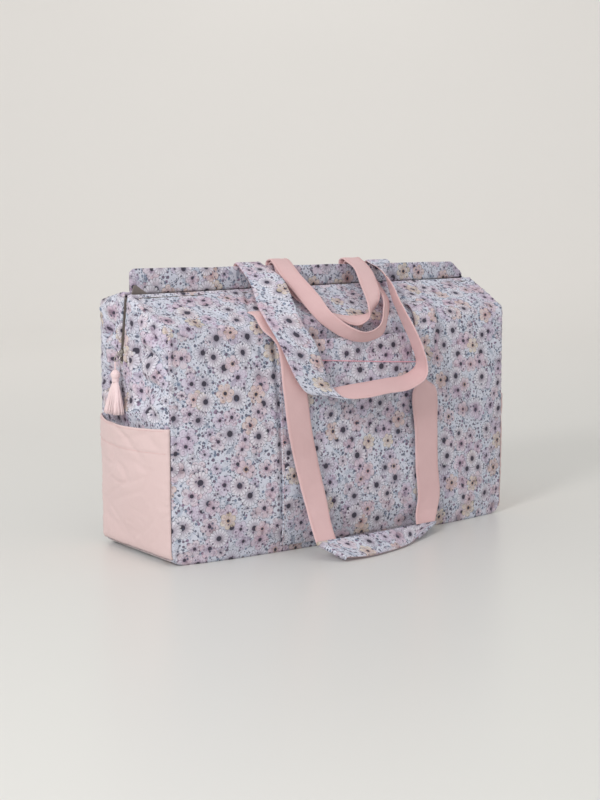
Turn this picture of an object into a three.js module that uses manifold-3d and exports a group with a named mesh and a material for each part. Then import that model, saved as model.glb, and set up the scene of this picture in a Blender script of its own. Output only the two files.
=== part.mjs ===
// Knitting bag: a quilted zip-top bag with end pockets, a front patch pocket, two long two-faced
// handles, two short carrying handles and a tassel on the zip slider.
//
// Millimetres, +Z up. The origin is the centre of the base on the surface that the bag stands on;
// X runs along the bag's width, -Y is the front.
//
// Every panel is a lofted shell of three nested layers (print, wadding, lining). A layer is a thin
// closed solid between two offsets of one surface, trimmed so that it fits inside the layer outside it.

import * as THREE from 'three';
import { mergeVertices } from 'three/addons/utils/BufferGeometryUtils.js';
import Module from 'manifold-3d';

const wasm = await Module();
wasm.setup();

// ---------------------------------------------------------------- driving dimensions
const HALF_WIDTH = 280;
const HALF_DEPTH = 86;
const BASE_CORNER = 18; // radius of the ends' bottom corners
const FRONT_BULGE = 24; // how far the front and back swell past their side seams
const END_BULGE = 9;
const GAP = 0.3;

const LAYERS = {
  print: [0, 1.2],
  wadding: [1.5, 4.5],
  lining: [4.8, 5.6],
};

// Shoulders of the two long sides: centre and radius of the rounded edge, and where the top meets the zip.
const FRONT_SHOULDER = { cy: 68, cz: 288, r: 18, zipY: 3, zipZ: 338.5 };
const BACK_SHOULDER = { cy: 72, cz: 314, r: 14, zipY: 11.5, zipZ: 340 };
const HINGE_Z = BACK_SHOULDER.cz; // fold line of the opening top, at the back wall's top edge

const ZIP_Y = 4; // centre line of the zip along the top
const ZIP_TOP_Z = 334;
const ZIP_END_LENGTH = 84; // length of zip that runs down each end
const ZIP_LEAN = 0.166; // angle by which the end zips lean back
const TAPE_WIDTH = 14;
const TEETH_GAP = 1.6;
const TEETH_WIDTH = 2.9;

const PLACKET = { front: 8.2, thickness: 2.6, topLeft: 369, topRight: 360 }; // stands behind the zip

const WALL_HEIGHTS = [0, 9, 20, 42, 100, 160, 215, 255]; // rows of the long walls
const END_STEPS = [0, 9, 19, 28, 60, 95, 128, 215]; // rows of the ends, along their profile
const TAPE_CLEARANCE = 12; // how far the inner layers stop short of the zip
const PRINT_SLOT = { halfWidth: 5.6, below: 6 }; // opening for an end's zip in its outer layer
const INNER_SLOT = { halfWidth: 17, below: 9 }; // and in the layers inside it, clear of the tapes

const POCKET_HALF_WIDTH = 125;
const POCKET_TOP_Z = 278;
const END_POCKET_TOP_Z = 175;

const STRAP_FACE = [0.15, 1.4]; // each face of a two-faced strap, measured from its middle
const FOLD_HEIGHT = 3.4; // spacing of a strap's two layers where it is folded flat

// ---------------------------------------------------------------- looks
const PRINT = { color: 0xcfc8d6, roughness: 0.92, metalness: 0 };
const PINK = { color: 0xe3b3b0, roughness: 0.88, metalness: 0 };
const WADDING = { color: 0xf2f0ea, roughness: 1, metalness: 0 };
const LINING = { color: 0xe9dedb, roughness: 0.9, metalness: 0 };
const TAPE = { color: 0x9a8d86, roughness: 0.85, metalness: 0 };
const TEETH = { color: 0x6e625c, roughness: 0.5, metalness: 0 };
const METAL = { color: 0xb9b3ab, roughness: 0.3, metalness: 1 };
const THREAD = { color: 0xeec8c4, roughness: 0.8, metalness: 0 };

// ---------------------------------------------------------------- helpers
const lerp = (a, b, t) => a + (b - a) * t;
const clamp01 = (t) => Math.min(1, Math.max(0, t));
const smooth = (a, b, t) => {
  const s = clamp01((t - a) / (b - a));
  return s * s * (3 - 2 * s);
};

function named(name, geometry, look) {
  const mesh = new THREE.Mesh(geometry, new THREE.MeshStandardMaterial(look));
  mesh.name = name;
  return mesh;
}

function signedVolume(positions, index) {
  const [a, b, c] = [new THREE.Vector3(), new THREE.Vector3(), new THREE.Vector3()];
  let sum = 0;
  for (let i = 0; i < index.length; i += 3) {
    a.fromArray(positions, index[i] * 3);
    b.fromArray(positions, index[i + 1] * 3);
    c.fromArray(positions, index[i + 2] * 3);
    sum += a.dot(b.cross(c)) / 6;
  }
  return sum;
}

/** A geometry from points and triangles, turned so that its faces point out. */
function closedGeometry(positions, index) {
  if (signedVolume(positions, index) < 0) {
    for (let i = 0; i < index.length; i += 3) {
      [index[i], index[i + 1]] = [index[i + 1], index[i]];
    }
  }
  const geometry = new THREE.BufferGeometry();
  geometry.setAttribute('position', new THREE.Float32BufferAttribute(positions, 3));
  geometry.setIndex(index);
  geometry.computeVertexNormals();
  return geometry;
}

/**
 * A thin closed solid between two offsets of a surface.
 * point(u, v, offset) gives a point for u and v from 0 to 1, moved inwards by the offset.
 */
function sheet(point, [outer, inner], nu, nv) {
  const positions = [];
  const index = [];
  const at = (side, i, j) => side * (nu + 1) * (nv + 1) + j * (nu + 1) + i;
  const quad = (a, b, c, d) => index.push(a, b, c, a, c, d);
  for (const offset of [outer, inner]) {
    for (let j = 0; j <= nv; j++) {
      for (let i = 0; i <= nu; i++) {
        positions.push(...point(i / nu, j / nv, offset));
      }
    }
  }
  for (let j = 0; j < nv; j++) {
    for (let i = 0; i < nu; i++) {
      quad(at(0, i, j), at(0, i + 1, j), at(0, i + 1, j + 1), at(0, i, j + 1));
      quad(at(1, i, j), at(1, i, j + 1), at(1, i + 1, j + 1), at(1, i + 1, j));
    }
  }
  for (let i = 0; i < nu; i++) {
    quad(at(0, i, 0), at(1, i, 0), at(1, i + 1, 0), at(0, i + 1, 0));
    quad(at(0, i, nv), at(0, i + 1, nv), at(1, i + 1, nv), at(1, i, nv));
  }
  for (let j = 0; j < nv; j++) {
    quad(at(0, 0, j), at(0, 0, j + 1), at(1, 0, j + 1), at(1, 0, j));
    quad(at(0, nu, j), at(1, nu, j), at(1, nu, j + 1), at(0, nu, j + 1));
  }
  return closedGeometry(positions, index);
}

function toSolid(geometry) {
  const bare = geometry.clone();
  bare.deleteAttribute('normal');
  bare.deleteAttribute('uv');
  const merged = mergeVertices(bare, 1e-4);
  return new wasm.Manifold(new wasm.Mesh({
    numProp: 3,
    vertProperties: new Float32Array(merged.attributes.position.array),
    triVerts: new Uint32Array(merged.index.array),
  }));
}

function fromSolid(solid) {
  const mesh = solid.getMesh();
  return closedGeometry(Array.from(mesh.vertProperties), Array.from(mesh.triVerts));
}

function box(x0, x1, y0, y1, z0, z1) {
  const geometry = new THREE.BoxGeometry(x1 - x0, y1 - y0, z1 - z0);
  geometry.translate((x0 + x1) / 2, (y0 + y1) / 2, (z0 + z1) / 2);
  return geometry;
}

// ---------------------------------------------------------------- the bag's outer shape
/** Half of the bag's width at a height: the bottom corners are rounded, tighter for an inset layer. */
function halfWidth(z, inset = 0) {
  const rise = Math.max(0, BASE_CORNER - z);
  const radius = BASE_CORNER - inset;
  return HALF_WIDTH - inset - radius + Math.sqrt(Math.max(0, radius ** 2 - rise ** 2));
}

/** Share of the bulge across the width, from 0 at a side seam to 1 in the middle. */
const bulgeAcross = (t) => 1 - t ** 4;

/** Share of the bulge up a long side: it rolls under at the base and fades at the shoulder. */
function bulgeUp(z) {
  const roll = 0.5 + 0.5 * Math.sin((Math.PI / 2) * clamp01(z / 42));
  return roll * (1 - clamp01(z / 305) ** 3);
}

/** Where a shoulder's arc runs into the straight top, for a layer inset from the outer surface. */
function shoulderEnd(s, inset) {
  const toZip = { d: s.zipY - s.cy, z: s.zipZ - s.cz };
  const angle = Math.atan2(toZip.z, toZip.d) - Math.acos(s.r / Math.hypot(toZip.d, toZip.z));
  const r = s.r - inset;
  return { angle, depth: s.cy + r * Math.cos(angle), z: s.cz + r * Math.sin(angle) };
}

/** Height of the top at a depth (distance from the middle plane), inset from the outer surface. */
function roof(s, depth, inset) {
  const end = shoulderEnd(s, inset);
  if (depth > end.depth) {
    const across = Math.min(depth - s.cy, s.r - inset);
    return s.cz + Math.sqrt((s.r - inset) ** 2 - across ** 2);
  }
  return end.z + (end.depth - depth) / Math.tan(end.angle);
}

/** How far an end swells past its side seams. */
function endBulge(depth, z) {
  return END_BULGE * Math.max(0, 1 - (depth / HALF_DEPTH) ** 2) * smooth(0, 110, z);
}

const sideDepth = (t, z) => HALF_DEPTH + FRONT_BULGE * bulgeAcross(t) * bulgeUp(z);

/** Profile of a long side: stations with depth, height and the angle of the outward normal. */
function wallStations(topZ) {
  const heights = WALL_HEIGHTS.filter((z) => z < topZ - 10);
  return [...heights, topZ].map((z) => ({ depth: HALF_DEPTH, z, normal: 0 }));
}

/** Profile of the top: the shoulder's arc, then straight up to the zip in two steps. */
function topStations(s) {
  const end = shoulderEnd(s, 0);
  const stations = [];
  const arcSteps = 3;
  for (let i = 0; i <= arcSteps; i++) {
    const a = (end.angle * i) / arcSteps;
    stations.push({ depth: s.cy + s.r * Math.cos(a), z: s.cz + s.r * Math.sin(a), normal: a });
  }
  for (const depth of [(end.depth + s.zipY + TAPE_CLEARANCE) / 2, s.zipY + TAPE_CLEARANCE, s.zipY]) {
    stations.push({ depth, z: roof(s, depth, 0), normal: end.angle });
  }
  return stations;
}

/**
 * One layer of a long side (side -1 is the front) through its profile stations. An inner layer is
 * shortened at its foot by its own inset, and at its top to the station numbered end.
 */
function longSide(side, stations, layer, end = stations.length - 1) {
  const [outer] = layer;
  const at = (u, s, offset) => {
    const t = 2 * u - 1;
    const swell = FRONT_BULGE * bulgeAcross(t);
    const slope = swell * (bulgeUp(s.z + 0.5) - bulgeUp(s.z - 0.5));
    const normal = s.normal - Math.atan(slope);
    const depth = s.depth + swell * bulgeUp(s.z) - offset * Math.cos(normal);
    const z = s.z - offset * Math.sin(normal);
    const reach = halfWidth(s.z, outer * 1.3) + endBulge(s.depth, s.z);
    return [t * reach, side * depth, z];
  };
  const foot = { ...stations[0], z: stations[0].z || outer * 1.1 };
  const rows = [foot, ...stations.slice(1)];
  const point = (u, v, offset) => at(u, rows[Math.round(v * end)], offset);
  return sheet(point, layer, 10, end);
}

// ---------------------------------------------------------------- shell panels
function frontLayer(layer, shorten) {
  const stations = [...wallStations(FRONT_SHOULDER.cz - 2), ...topStations(FRONT_SHOULDER)];
  return longSide(-1, stations, layer, stations.length - 1 - shorten);
}

function backLayer(layer) {
  return longSide(1, wallStations(HINGE_Z - GAP), layer);
}

function flapLayer(layer, shorten) {
  const stations = topStations(BACK_SHOULDER);
  return longSide(1, stations, layer, stations.length - 1 - shorten);
}

/** One layer of the base: it fits inside the same layers of the four walls. */
function baseLayer(layer) {
  const [outer, inner] = layer;
  const inset = inner + GAP;
  const point = (u, v, offset) => {
    const x = (2 * u - 1) * (HALF_WIDTH - BASE_CORNER - GAP);
    const y = (2 * v - 1) * (sideDepth(2 * u - 1, 0) - inset - 0.02 * outer);
    return [x, y, offset];
  };
  return sheet(point, layer, 10, 2);
}

/** Point of an end's surface at a depth, s millimetres up its profile from the base. */
function endPoint(side, y, s, offset) {
  const arc = (Math.PI / 2) * BASE_CORNER;
  const phi = Math.min(s, arc) / BASE_CORNER;
  const rise = Math.max(0, s - arc);
  const z = BASE_CORNER * (1 - Math.cos(phi)) + rise;
  const x = HALF_WIDTH - BASE_CORNER * (1 - Math.sin(phi)) + endBulge(y, z);
  return [side * (x - offset * Math.sin(phi)), y, z + offset * Math.cos(phi)];
}

/** Profile length from the base up to a height. */
const profileLength = (z) => z - BASE_CORNER + (Math.PI / 2) * BASE_CORNER;

/** Leans an upright piece to follow an end's zip, turning it about the zip's top end. */
function alongZip(geometry) {
  geometry.translate(0, 0, -ZIP_TOP_Z);
  geometry.rotateX(ZIP_LEAN);
  geometry.translate(0, ZIP_Y, ZIP_TOP_Z);
  return geometry;
}

/** One layer of an end, with the slot that its zip runs in. */
function endLayer(side, layer, opening) {
  const [, inner] = layer;
  const halfDepth = HALF_DEPTH - inner - GAP;
  const point = (u, v, offset) => {
    const y = (2 * u - 1) * halfDepth;
    const s = y < 0 ? FRONT_SHOULDER : BACK_SHOULDER;
    const middle = Math.max(Math.abs(y), s.zipY);
    const top = roof(s, middle, inner + 2 * GAP);
    const step = Math.round(v * END_STEPS.length);
    return endPoint(side, y, END_STEPS[step] ?? profileLength(top), offset);
  };
  const body = toSolid(sheet(point, layer, 10, END_STEPS.length));
  const bottom = ZIP_TOP_Z - ZIP_END_LENGTH - opening.below;
  const top = ZIP_TOP_Z + 30;
  const x = side * (HALF_WIDTH - 10);
  const cutter = box(x - 40, x + 40, -opening.halfWidth, opening.halfWidth, bottom, top);
  return fromSolid(body.subtract(toSolid(alongZip(cutter))));
}

// ---------------------------------------------------------------- placket
/** Height of the standing placket's top edge: it runs slightly down to the right. */
function placketTop(x) {
  return lerp(PLACKET.topLeft, PLACKET.topRight, (x + HALF_WIDTH) / (2 * HALF_WIDTH));
}

/** The flat strip of cloth that stands behind the zip, along the opening top's free edge. */
function placket() {
  const foot = BACK_SHOULDER.zipZ - 5;
  const point = (u, v, offset) => {
    const x = (2 * u - 1) * (HALF_WIDTH - 1);
    return [x, PLACKET.front + offset, lerp(foot, placketTop(x), v)];
  };
  return sheet(point, [0, PLACKET.thickness], 6, 1);
}

// ---------------------------------------------------------------- pockets
/** Pink pocket across an end: closed at its sides and foot, standing open in the middle of its top. */
function endPocket(side) {
  const gape = 12;
  const top = profileLength(END_POCKET_TOP_Z);
  const steps = [...END_STEPS.filter((s) => s > 10 && s < top - 10), top];
  const point = (u, v, offset) => {
    const t = 2 * u - 1;
    const s = steps[Math.round(v * (steps.length - 1))];
    const stand = gape * (1 - t * t) * (s / top) ** 1.5;
    return endPoint(side, t * (HALF_DEPTH - GAP), s, -(offset + stand));
  };
  return sheet(point, [2 * GAP + 1, 2 * GAP], 10, steps.length - 1);
}

/** Patch pocket on the front, standing off the shell towards its top edge. */
function frontPocket() {
  const gape = 15;
  const heights = [...WALL_HEIGHTS.filter((z) => z > 5 && z < POCKET_TOP_Z - 10), POCKET_TOP_Z];
  const point = (u, v, offset) => {
    const x = (2 * u - 1) * POCKET_HALF_WIDTH;
    const z = heights[Math.round(v * (heights.length - 1))];
    const stand = gape * bulgeAcross(2 * u - 1) * smooth(150, POCKET_TOP_Z, z);
    return [x, -(sideDepth(x / halfWidth(z), z) + offset + stand), z];
  };
  return sheet(point, [2 * GAP + 1, 2 * GAP], 10, heights.length - 1);
}

// ---------------------------------------------------------------- straps
const vec = (p) => new THREE.Vector3(...p);

/** Smooth stations of a strap through its two edges, each with the direction that its upper side faces. */
function smoothStations(edges, count) {
  const curves = [0, 1].map((k) => new THREE.CatmullRomCurve3(edges.map((pair) => vec(pair[k]))));
  const stations = [];
  for (let i = 0; i <= count; i++) {
    const [e, f] = curves.map((curve) => curve.getPoint(i / count));
    const tangent = curves[0].getTangent(i / count).add(curves[1].getTangent(i / count));
    const face = tangent.cross(f.clone().sub(e)).normalize();
    stations.push({ e, f, face });
  }
  return stations;
}

/**
 * Stations that turn a strap over a straight fold line, from one layer to the layer beside it.
 * away points roughly from the strap out over the fold.
 */
function foldStations(from, to, away) {
  const steps = 4;
  const lift = to.e.clone().sub(from.e);
  const radius = lift.length() / 2;
  const up = lift.clone().normalize();
  const line = from.f.clone().sub(from.e).normalize();
  const out = up.clone().cross(line).normalize();
  out.multiplyScalar(Math.sign(out.dot(away)));
  const sign = Math.sign(up.dot(from.face));
  const { e, f } = from;
  const stations = [];
  for (let i = 1; i < steps; i++) {
    const a = (Math.PI * i) / steps;
    const shift = up.clone().multiplyScalar(radius * (1 - Math.cos(a)));
    shift.addScaledVector(out, radius * Math.sin(a));
    const turned = up.clone().multiplyScalar(Math.cos(a)).addScaledVector(out, -Math.sin(a));
    stations.push({
      e: e.clone().add(shift),
      f: f.clone().add(shift),
      face: turned.multiplyScalar(sign),
    });
  }
  return stations;
}

/** The closed solid of one face of a strap, between two offsets along its stations' face direction. */
function strapSolid(stations, span) {
  const last = stations.length - 1;
  const point = (u, v, offset) => {
    const s = stations[Math.round(v * last)];
    return s.e.clone().lerp(s.f, u).addScaledVector(s.face, offset).toArray();
  };
  return sheet(point, span, 1, last);
}

const upperSide = (stations) => strapSolid(stations, STRAP_FACE);
const underSide = (stations) => strapSolid(stations, STRAP_FACE.map((t) => -t));

/** Edge pairs of a strap that climbs the back of the placket and turns over its top edge. */
function overPlacket(xe, xf, lift = 0) {
  const top = placketTop((xe + xf) / 2) + lift;
  const rear = PLACKET.front + PLACKET.thickness + 3.8 + lift;
  const middle = PLACKET.front + PLACKET.thickness / 2;
  const route = [[rear, top - 6], [rear - 1, top + 1.4], [middle, top + 3.8], [4, top + 1.6]];
  return route.map(([y, z]) => [[xe, y, z], [xf, y, z]]);
}

/** Edge pairs of a half twist on a strap that runs up: it gathers, and its two faces change places. */
function halfTwist(from, to, half) {
  const steps = 6;
  const gather = 13.5;
  const pairs = [];
  for (let k = 1; k < steps; k++) {
    const angle = (Math.PI * k) / steps;
    const reach = half - gather * Math.sqrt(Math.sin(angle));
    const [x, y, z] = from.map((value, i) => lerp(value, to[i], k / steps));
    const [across, back] = [reach * Math.cos(angle), reach * Math.sin(angle)];
    pairs.push([[x + across, y + back, z], [x - across, y - back, z]]);
  }
  return pairs;
}

/** The front long handle: two legs down the front, folded flat into a level strap at its foot. */
function frontHandleStations() {
  const leftLeg = [
    [[-150, -66, 311.8], [-110, -66, 311.8]],
    [[-149, -80, 307.5], [-110, -80, 307.5]],
    [[-146, -93.5, 292], [-106, -94, 292]],
    [[-132, -105, 273], [-94, -108.5, 272]],
    [[-127, -112.5, 216], [-90, -113.5, 215]],
    [[-120, -114, 162], [-82, -114, 160]],
    [[-109, -114.5, 114], [-71, -114.5, 112]],
    [[-104, -127, 70], [-68, -127, 68]],
    [[-106, -145, 39], [-73, -145, 38]],
    [[-109, -160, 20.4], [-77, -161, 20]],
  ];
  const foot = [
    [[-109, -162, 23.6], [-85, -193.2, 6.4]],
    [[-62, -163, 23.6], [-50, -193, 3.2]],
    [[-20, -160, 22.5], [-10, -186, 2.6]],
    [[30, -151, 20.5], [32, -173, 2.8]],
    [[80, -140, 18], [55, -161, 4.2]],
    [[118, -129.8, 15.8], [63, -157, 6.4]],
  ];
  const rightLeg = [
    [[118, -127.6, 13], [84, -129, 12.4]],
    [[130, -119, 29], [90, -120, 28]],
    [[137, -115.5, 50], [97, -116, 48]],
    [[134, -114.5, 92], [94, -114.5, 92]],
    [[132, -114.5, 140], [92, -114.5, 140]],
    [[128, -114.5, 198], [88, -114.5, 198]],
    ...halfTwist([107.5, -114.4, 202], [107, -113, 246], 19.5),
    [[88, -112, 248], [127, -110.5, 248]],
    [[95, -108.5, 272], [133, -106, 272]],
    [[106, -94, 292], [146, -93.5, 292]],
    [[110, -80, 307.5], [149, -80, 307.5]],
    [[110, -66, 311.8], [150, -66, 311.8]],
  ];
  const level = smoothStations(foot, 8);
  const [first, last] = [level[0], level.at(-1)];
  const under = (station) => {
    const face = station.face.clone().negate();
    const shift = face.clone().multiplyScalar(-FOLD_HEIGHT);
    return { e: station.e.clone().add(shift), f: station.f.clone().add(shift), face };
  };
  const [footA, footB] = [under(first), under(last)];
  return [
    ...smoothStations(leftLeg, 16),
    footA,
    ...foldStations(footA, first, new THREE.Vector3(-1, -0.5, -0.3)),
    ...level,
    ...foldStations(last, footB, new THREE.Vector3(1, -0.8, -0.3)),
    footB,
    ...smoothStations(rightLeg, 28),
  ];
}

/** The back long handle: over the placket from behind, hanging open in front as a twisted loop. */
function backHandleStations() {
  return smoothStations([
    [[-128, 76.5, 330], [-88, 76.5, 330]],
    [[-124, 48, 337], [-84, 48, 337]],
    [[-121, 24, 348], [-81, 24, 348]],
    ...overPlacket(-117, -77),
    [[-120, -28, 347], [-77, -42, 351]],
    [[-133, -66, 318.5], [-90, -87, 320]],
    [[-141, -93, 304.5], [-90, -104, 298]],
    [[-134, -113, 276], [-85, -125, 273]],
    [[-108, -121.5, 222], [-62, -131, 216]],
    [[-92, -122, 208], [-50, -142, 202]],
    [[-45, -120, 213], [-22, -150, 200]],
    [[30, -120, 218], [14, -151, 203]],
    [[68, -120, 221], [56, -150, 206]],
    [[88, -119.5, 234], [84, -149, 222]],
    [[84, -114, 262], [80, -146, 256]],
    [[80, -97, 292], [73, -130, 290]],
    [[88, -72, 313.5], [74, -104, 317]],
    [[104, -42, 331], [90, -66, 339]],
    [[124, -12, 352], [100, -24, 358]],
    ...overPlacket(142, 104).reverse(),
    [[142, 24, 347], [103, 24, 347]],
    [[138, 48, 337], [98, 48, 337]],
    [[134, 76.5, 330], [94, 76.5, 330]],
  ], 54);
}

/** The short handle that lies in front at the left. */
function outerShortStations() {
  return smoothStations([
    ...overPlacket(-62, -32, 3.9),
    [[-64, -18, 354], [-40, -32, 354]],
    [[-58, -50, 326], [-36, -66, 330]],
    [[-52, -92, 295], [-45, -110, 308]],
    [[-30, -113, 276], [-30, -130, 291]],
    [[0, -117, 269], [-8, -134, 284]],
    [[32, -115, 276], [18, -130, 292]],
    [[56, -98, 298], [36, -114, 310]],
    [[79, -72, 315], [60, -82, 323]],
    [[91, -42, 331], [75, -44, 337]],
    [[97, -12, 352], [72, -15, 356]],
    ...overPlacket(97, 67).reverse(),
  ], 36);
}

/** The short handle that hangs inside the other one: under it at the left, over it at the right. */
function innerShortStations() {
  return smoothStations([
    ...overPlacket(-60, -30, 0.7),
    [[-63, -14, 348], [-40, -26, 347.5]],
    [[-56, -46, 322], [-36, -58, 323.5]],
    [[-43, -76, 311], [-32, -97, 305]],
    [[-14, -87, 303], [-16, -109, 293]],
    [[4, -88, 301], [0, -111, 291]],
    [[26, -92, 303], [14, -112, 300]],
    [[44, -90, 314], [20, -102, 312]],
    [[54, -84, 324], [26, -90, 321]],
    [[70, -58, 340], [39, -60, 340]],
    [[85, -25, 357], [54, -27, 359]],
    ...overPlacket(92, 62, 3.6).reverse(),
  ], 34);
}

// ---------------------------------------------------------------- zip
const endTape = { near: 284.8, far: 285.6 };
const endTeeth = { near: 285.9, far: 287.3 };
const SLIDER_Z = ZIP_TOP_Z - ZIP_END_LENGTH + 10;
const PULL = {
  wire: 0.7,
  from: new THREE.Vector3(-290.6, 16.2, 261.2),
  to: new THREE.Vector3(-297, 17, 251.4),
};

/** A straight strip along an end's zip, on one side (-1 front, 1 rear) of its centre line. */
function endStrip(side, half, span, width) {
  const x = [side * span.near, side * span.far].sort((a, b) => a - b);
  const y = [half * TEETH_GAP / 2, half * (TEETH_GAP / 2 + width)].sort((a, b) => a - b);
  return alongZip(box(...x, ...y, ZIP_TOP_Z - ZIP_END_LENGTH, ZIP_TOP_Z - 2));
}

/** The H-shaped slider, with a bridge on its outer plate that holds the pull ring. */
function sliderBody() {
  const [bottom, top] = [SLIDER_Z - 5, SLIDER_Z + 5];
  const y = 4.2;
  const outerPlate = box(-289, -287.7, -y, y, bottom, top);
  const innerPlate = box(-284.4, -283.2, -y, y, bottom, top);
  const web = box(-288, -284, -0.4, 0.4, bottom, top);
  const bridge = box(-293, -292, -1, 1, bottom + 1, top - 1);
  const bridgeFoot = box(-292.2, -288.8, -1, 1, bottom + 1, bottom + 2);
  const bridgeHead = box(-292.2, -288.8, -1, 1, top - 2, top - 1);
  const parts = [outerPlate, innerPlate, web, bridge, bridgeFoot, bridgeHead];
  return alongZip(fromSolid(wasm.Manifold.union(parts.map(toSolid))));
}

/** The ring that hangs in the slider's bridge and carries the tassel. */
function pullRing() {
  const radius = PULL.from.distanceTo(PULL.to) / 2;
  const down = PULL.to.clone().sub(PULL.from).normalize();
  const across = new THREE.Vector3(0, 1, 0).addScaledVector(down, -down.y).normalize();
  const turn = new THREE.Matrix4().makeBasis(across, down, across.clone().cross(down));
  const geometry = new THREE.TorusGeometry(radius, PULL.wire, 6, 14);
  geometry.applyMatrix4(turn);
  const middle = PULL.from.clone().lerp(PULL.to, 0.5);
  geometry.translate(middle.x, middle.y, middle.z);
  return fromSolid(toSolid(geometry));
}

function endStop(side) {
  const x = [side * endTeeth.near, side * endTeeth.far].sort((a, b) => a - b);
  const z = ZIP_TOP_Z - ZIP_END_LENGTH;
  return alongZip(box(...x, -4, 4, z - 4, z - GAP));
}

// ---------------------------------------------------------------- tassel
const TASSEL = { x: PULL.to.x, y: PULL.to.y };

/** A lathe of radius and height pairs from the bottom up, squashed against the end. */
function turned(profile, flatten) {
  const points = profile.map(([r, z]) => new THREE.Vector2(r, z));
  const geometry = new THREE.LatheGeometry(points, 12);
  geometry.rotateX(Math.PI / 2);
  geometry.scale(flatten, 1, 1);
  geometry.translate(TASSEL.x, TASSEL.y, 0);
  return fromSolid(toSolid(geometry));
}

// ---------------------------------------------------------------- assembly
const group = new THREE.Group();
const add = (name, geometry, look) => group.add(named(name, geometry, look));

const looks = { print: PRINT, wadding: WADDING, lining: LINING };
const title = { print: 'panel', wadding: 'wadding', lining: 'lining' };
for (const [kind, layer] of Object.entries(LAYERS)) {
  const isPrint = kind === 'print';
  add(`front_${title[kind]}`, frontLayer(layer, isPrint ? 0 : 1), looks[kind]);
  add(`back_${title[kind]}`, backLayer(layer), looks[kind]);
  add(`base_${title[kind]}`, baseLayer(layer), looks[kind]);
  for (const [name, side] of [['left', -1], ['right', 1]]) {
    const end = endLayer(side, layer, isPrint ? PRINT_SLOT : INNER_SLOT);
    add(`${name}_end_${title[kind]}`, end, looks[kind]);
  }
  add(`top_flap_${title[kind]}`, flapLayer(layer, isPrint ? 0 : 1), looks[kind]);
}

add('zip_placket', placket(), PRINT);

add('front_pocket', frontPocket(), PRINT);
add('left_end_pocket', endPocket(-1), PINK);
add('right_end_pocket', endPocket(1), PINK);

const topReach = HALF_WIDTH - 4;
for (const [name, half] of [['front', -1], ['rear', 1]]) {
  const tape = [half * TEETH_GAP / 2, half * (TEETH_GAP / 2 + TAPE_WIDTH)].map((y) => y + ZIP_Y);
  const teeth = [half * TEETH_GAP / 2, half * (TEETH_GAP / 2 + TEETH_WIDTH)].map((y) => y + ZIP_Y);
  const order = (pair) => pair.sort((a, b) => a - b);
  add(`top_zip_tape_${name}`, box(-topReach, topReach, ...order(tape), 332.2, 333), TAPE);
  add(`top_zip_teeth_${name}`, box(-topReach, topReach, ...order(teeth), 333.3, 334.7), TEETH);
  for (const [end, side] of [['left', -1], ['right', 1]]) {
    add(`${end}_zip_tape_${name}`, endStrip(side, half, endTape, TAPE_WIDTH), TAPE);
    add(`${end}_zip_teeth_${name}`, endStrip(side, half, endTeeth, TEETH_WIDTH), TEETH);
  }
}
add('left_zip_stop', endStop(-1), METAL);
add('right_zip_stop', endStop(1), METAL);
add('zip_slider', sliderBody(), METAL);
add('zip_pull_ring', pullRing(), METAL);

const CORD = [[0, 240.3], [1.2, 240.3], [1.2, 250.2], [0, 250.2]];
const KNOT = [[0, 227], [4.5, 227], [6.6, 231], [6.4, 236], [4, 240], [0, 240]];
const SKIRT = [[0, 184], [18.5, 184], [17, 195], [10.5, 216], [5, 226.7], [0, 226.7]];
add('tassel_cord', turned(CORD, 1), THREAD);
add('tassel_knot', turned(KNOT, 0.8), THREAD);
add('tassel_skirt', turned(SKIRT, 0.42), THREAD);

const frontHandle = frontHandleStations();
add('front_long_handle_print', underSide(frontHandle), PRINT);
add('front_long_handle_pink', upperSide(frontHandle), PINK);
const backHandle = backHandleStations();
add('back_long_handle_print', upperSide(backHandle), PRINT);
add('back_long_handle_pink', underSide(backHandle), PINK);

add('outer_short_handle', strapSolid(outerShortStations(), [-1.2, 1.2]), PINK);
add('inner_short_handle', strapSolid(innerShortStations(), [-1.2, 1.2]), PINK);

export default group;
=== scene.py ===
"""Looks for the knitting bag: quilted floral shell, pink pockets and straps, zip and tassel.

Shapes are worked out in millimetres in the CAD's frame and written to meshes in metres.
"""

import math

import bpy
import numpy as np
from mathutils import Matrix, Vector


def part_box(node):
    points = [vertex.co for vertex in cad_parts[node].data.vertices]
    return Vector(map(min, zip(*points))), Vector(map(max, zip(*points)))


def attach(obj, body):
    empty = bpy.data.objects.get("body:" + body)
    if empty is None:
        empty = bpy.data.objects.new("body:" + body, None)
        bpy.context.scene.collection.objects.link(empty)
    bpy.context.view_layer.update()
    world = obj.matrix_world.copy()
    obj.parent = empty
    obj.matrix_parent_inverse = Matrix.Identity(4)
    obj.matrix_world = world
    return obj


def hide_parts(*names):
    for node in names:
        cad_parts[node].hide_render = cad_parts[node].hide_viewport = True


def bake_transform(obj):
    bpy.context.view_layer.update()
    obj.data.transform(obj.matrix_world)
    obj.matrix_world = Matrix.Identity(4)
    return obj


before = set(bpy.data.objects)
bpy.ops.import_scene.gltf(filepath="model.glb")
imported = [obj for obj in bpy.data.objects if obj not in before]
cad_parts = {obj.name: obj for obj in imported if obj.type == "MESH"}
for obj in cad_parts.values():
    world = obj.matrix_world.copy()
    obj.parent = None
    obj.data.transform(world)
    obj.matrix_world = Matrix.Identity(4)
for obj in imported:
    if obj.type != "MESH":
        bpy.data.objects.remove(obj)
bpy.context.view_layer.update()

MM = 0.001


# ---------------------------------------------------------------- camera
CAMERA_PLACE = (-1.301, -1.757, 0.491)
CAMERA_AIM = (0.58382, 0.79945, -0.14159)
LENS = 72


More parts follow.
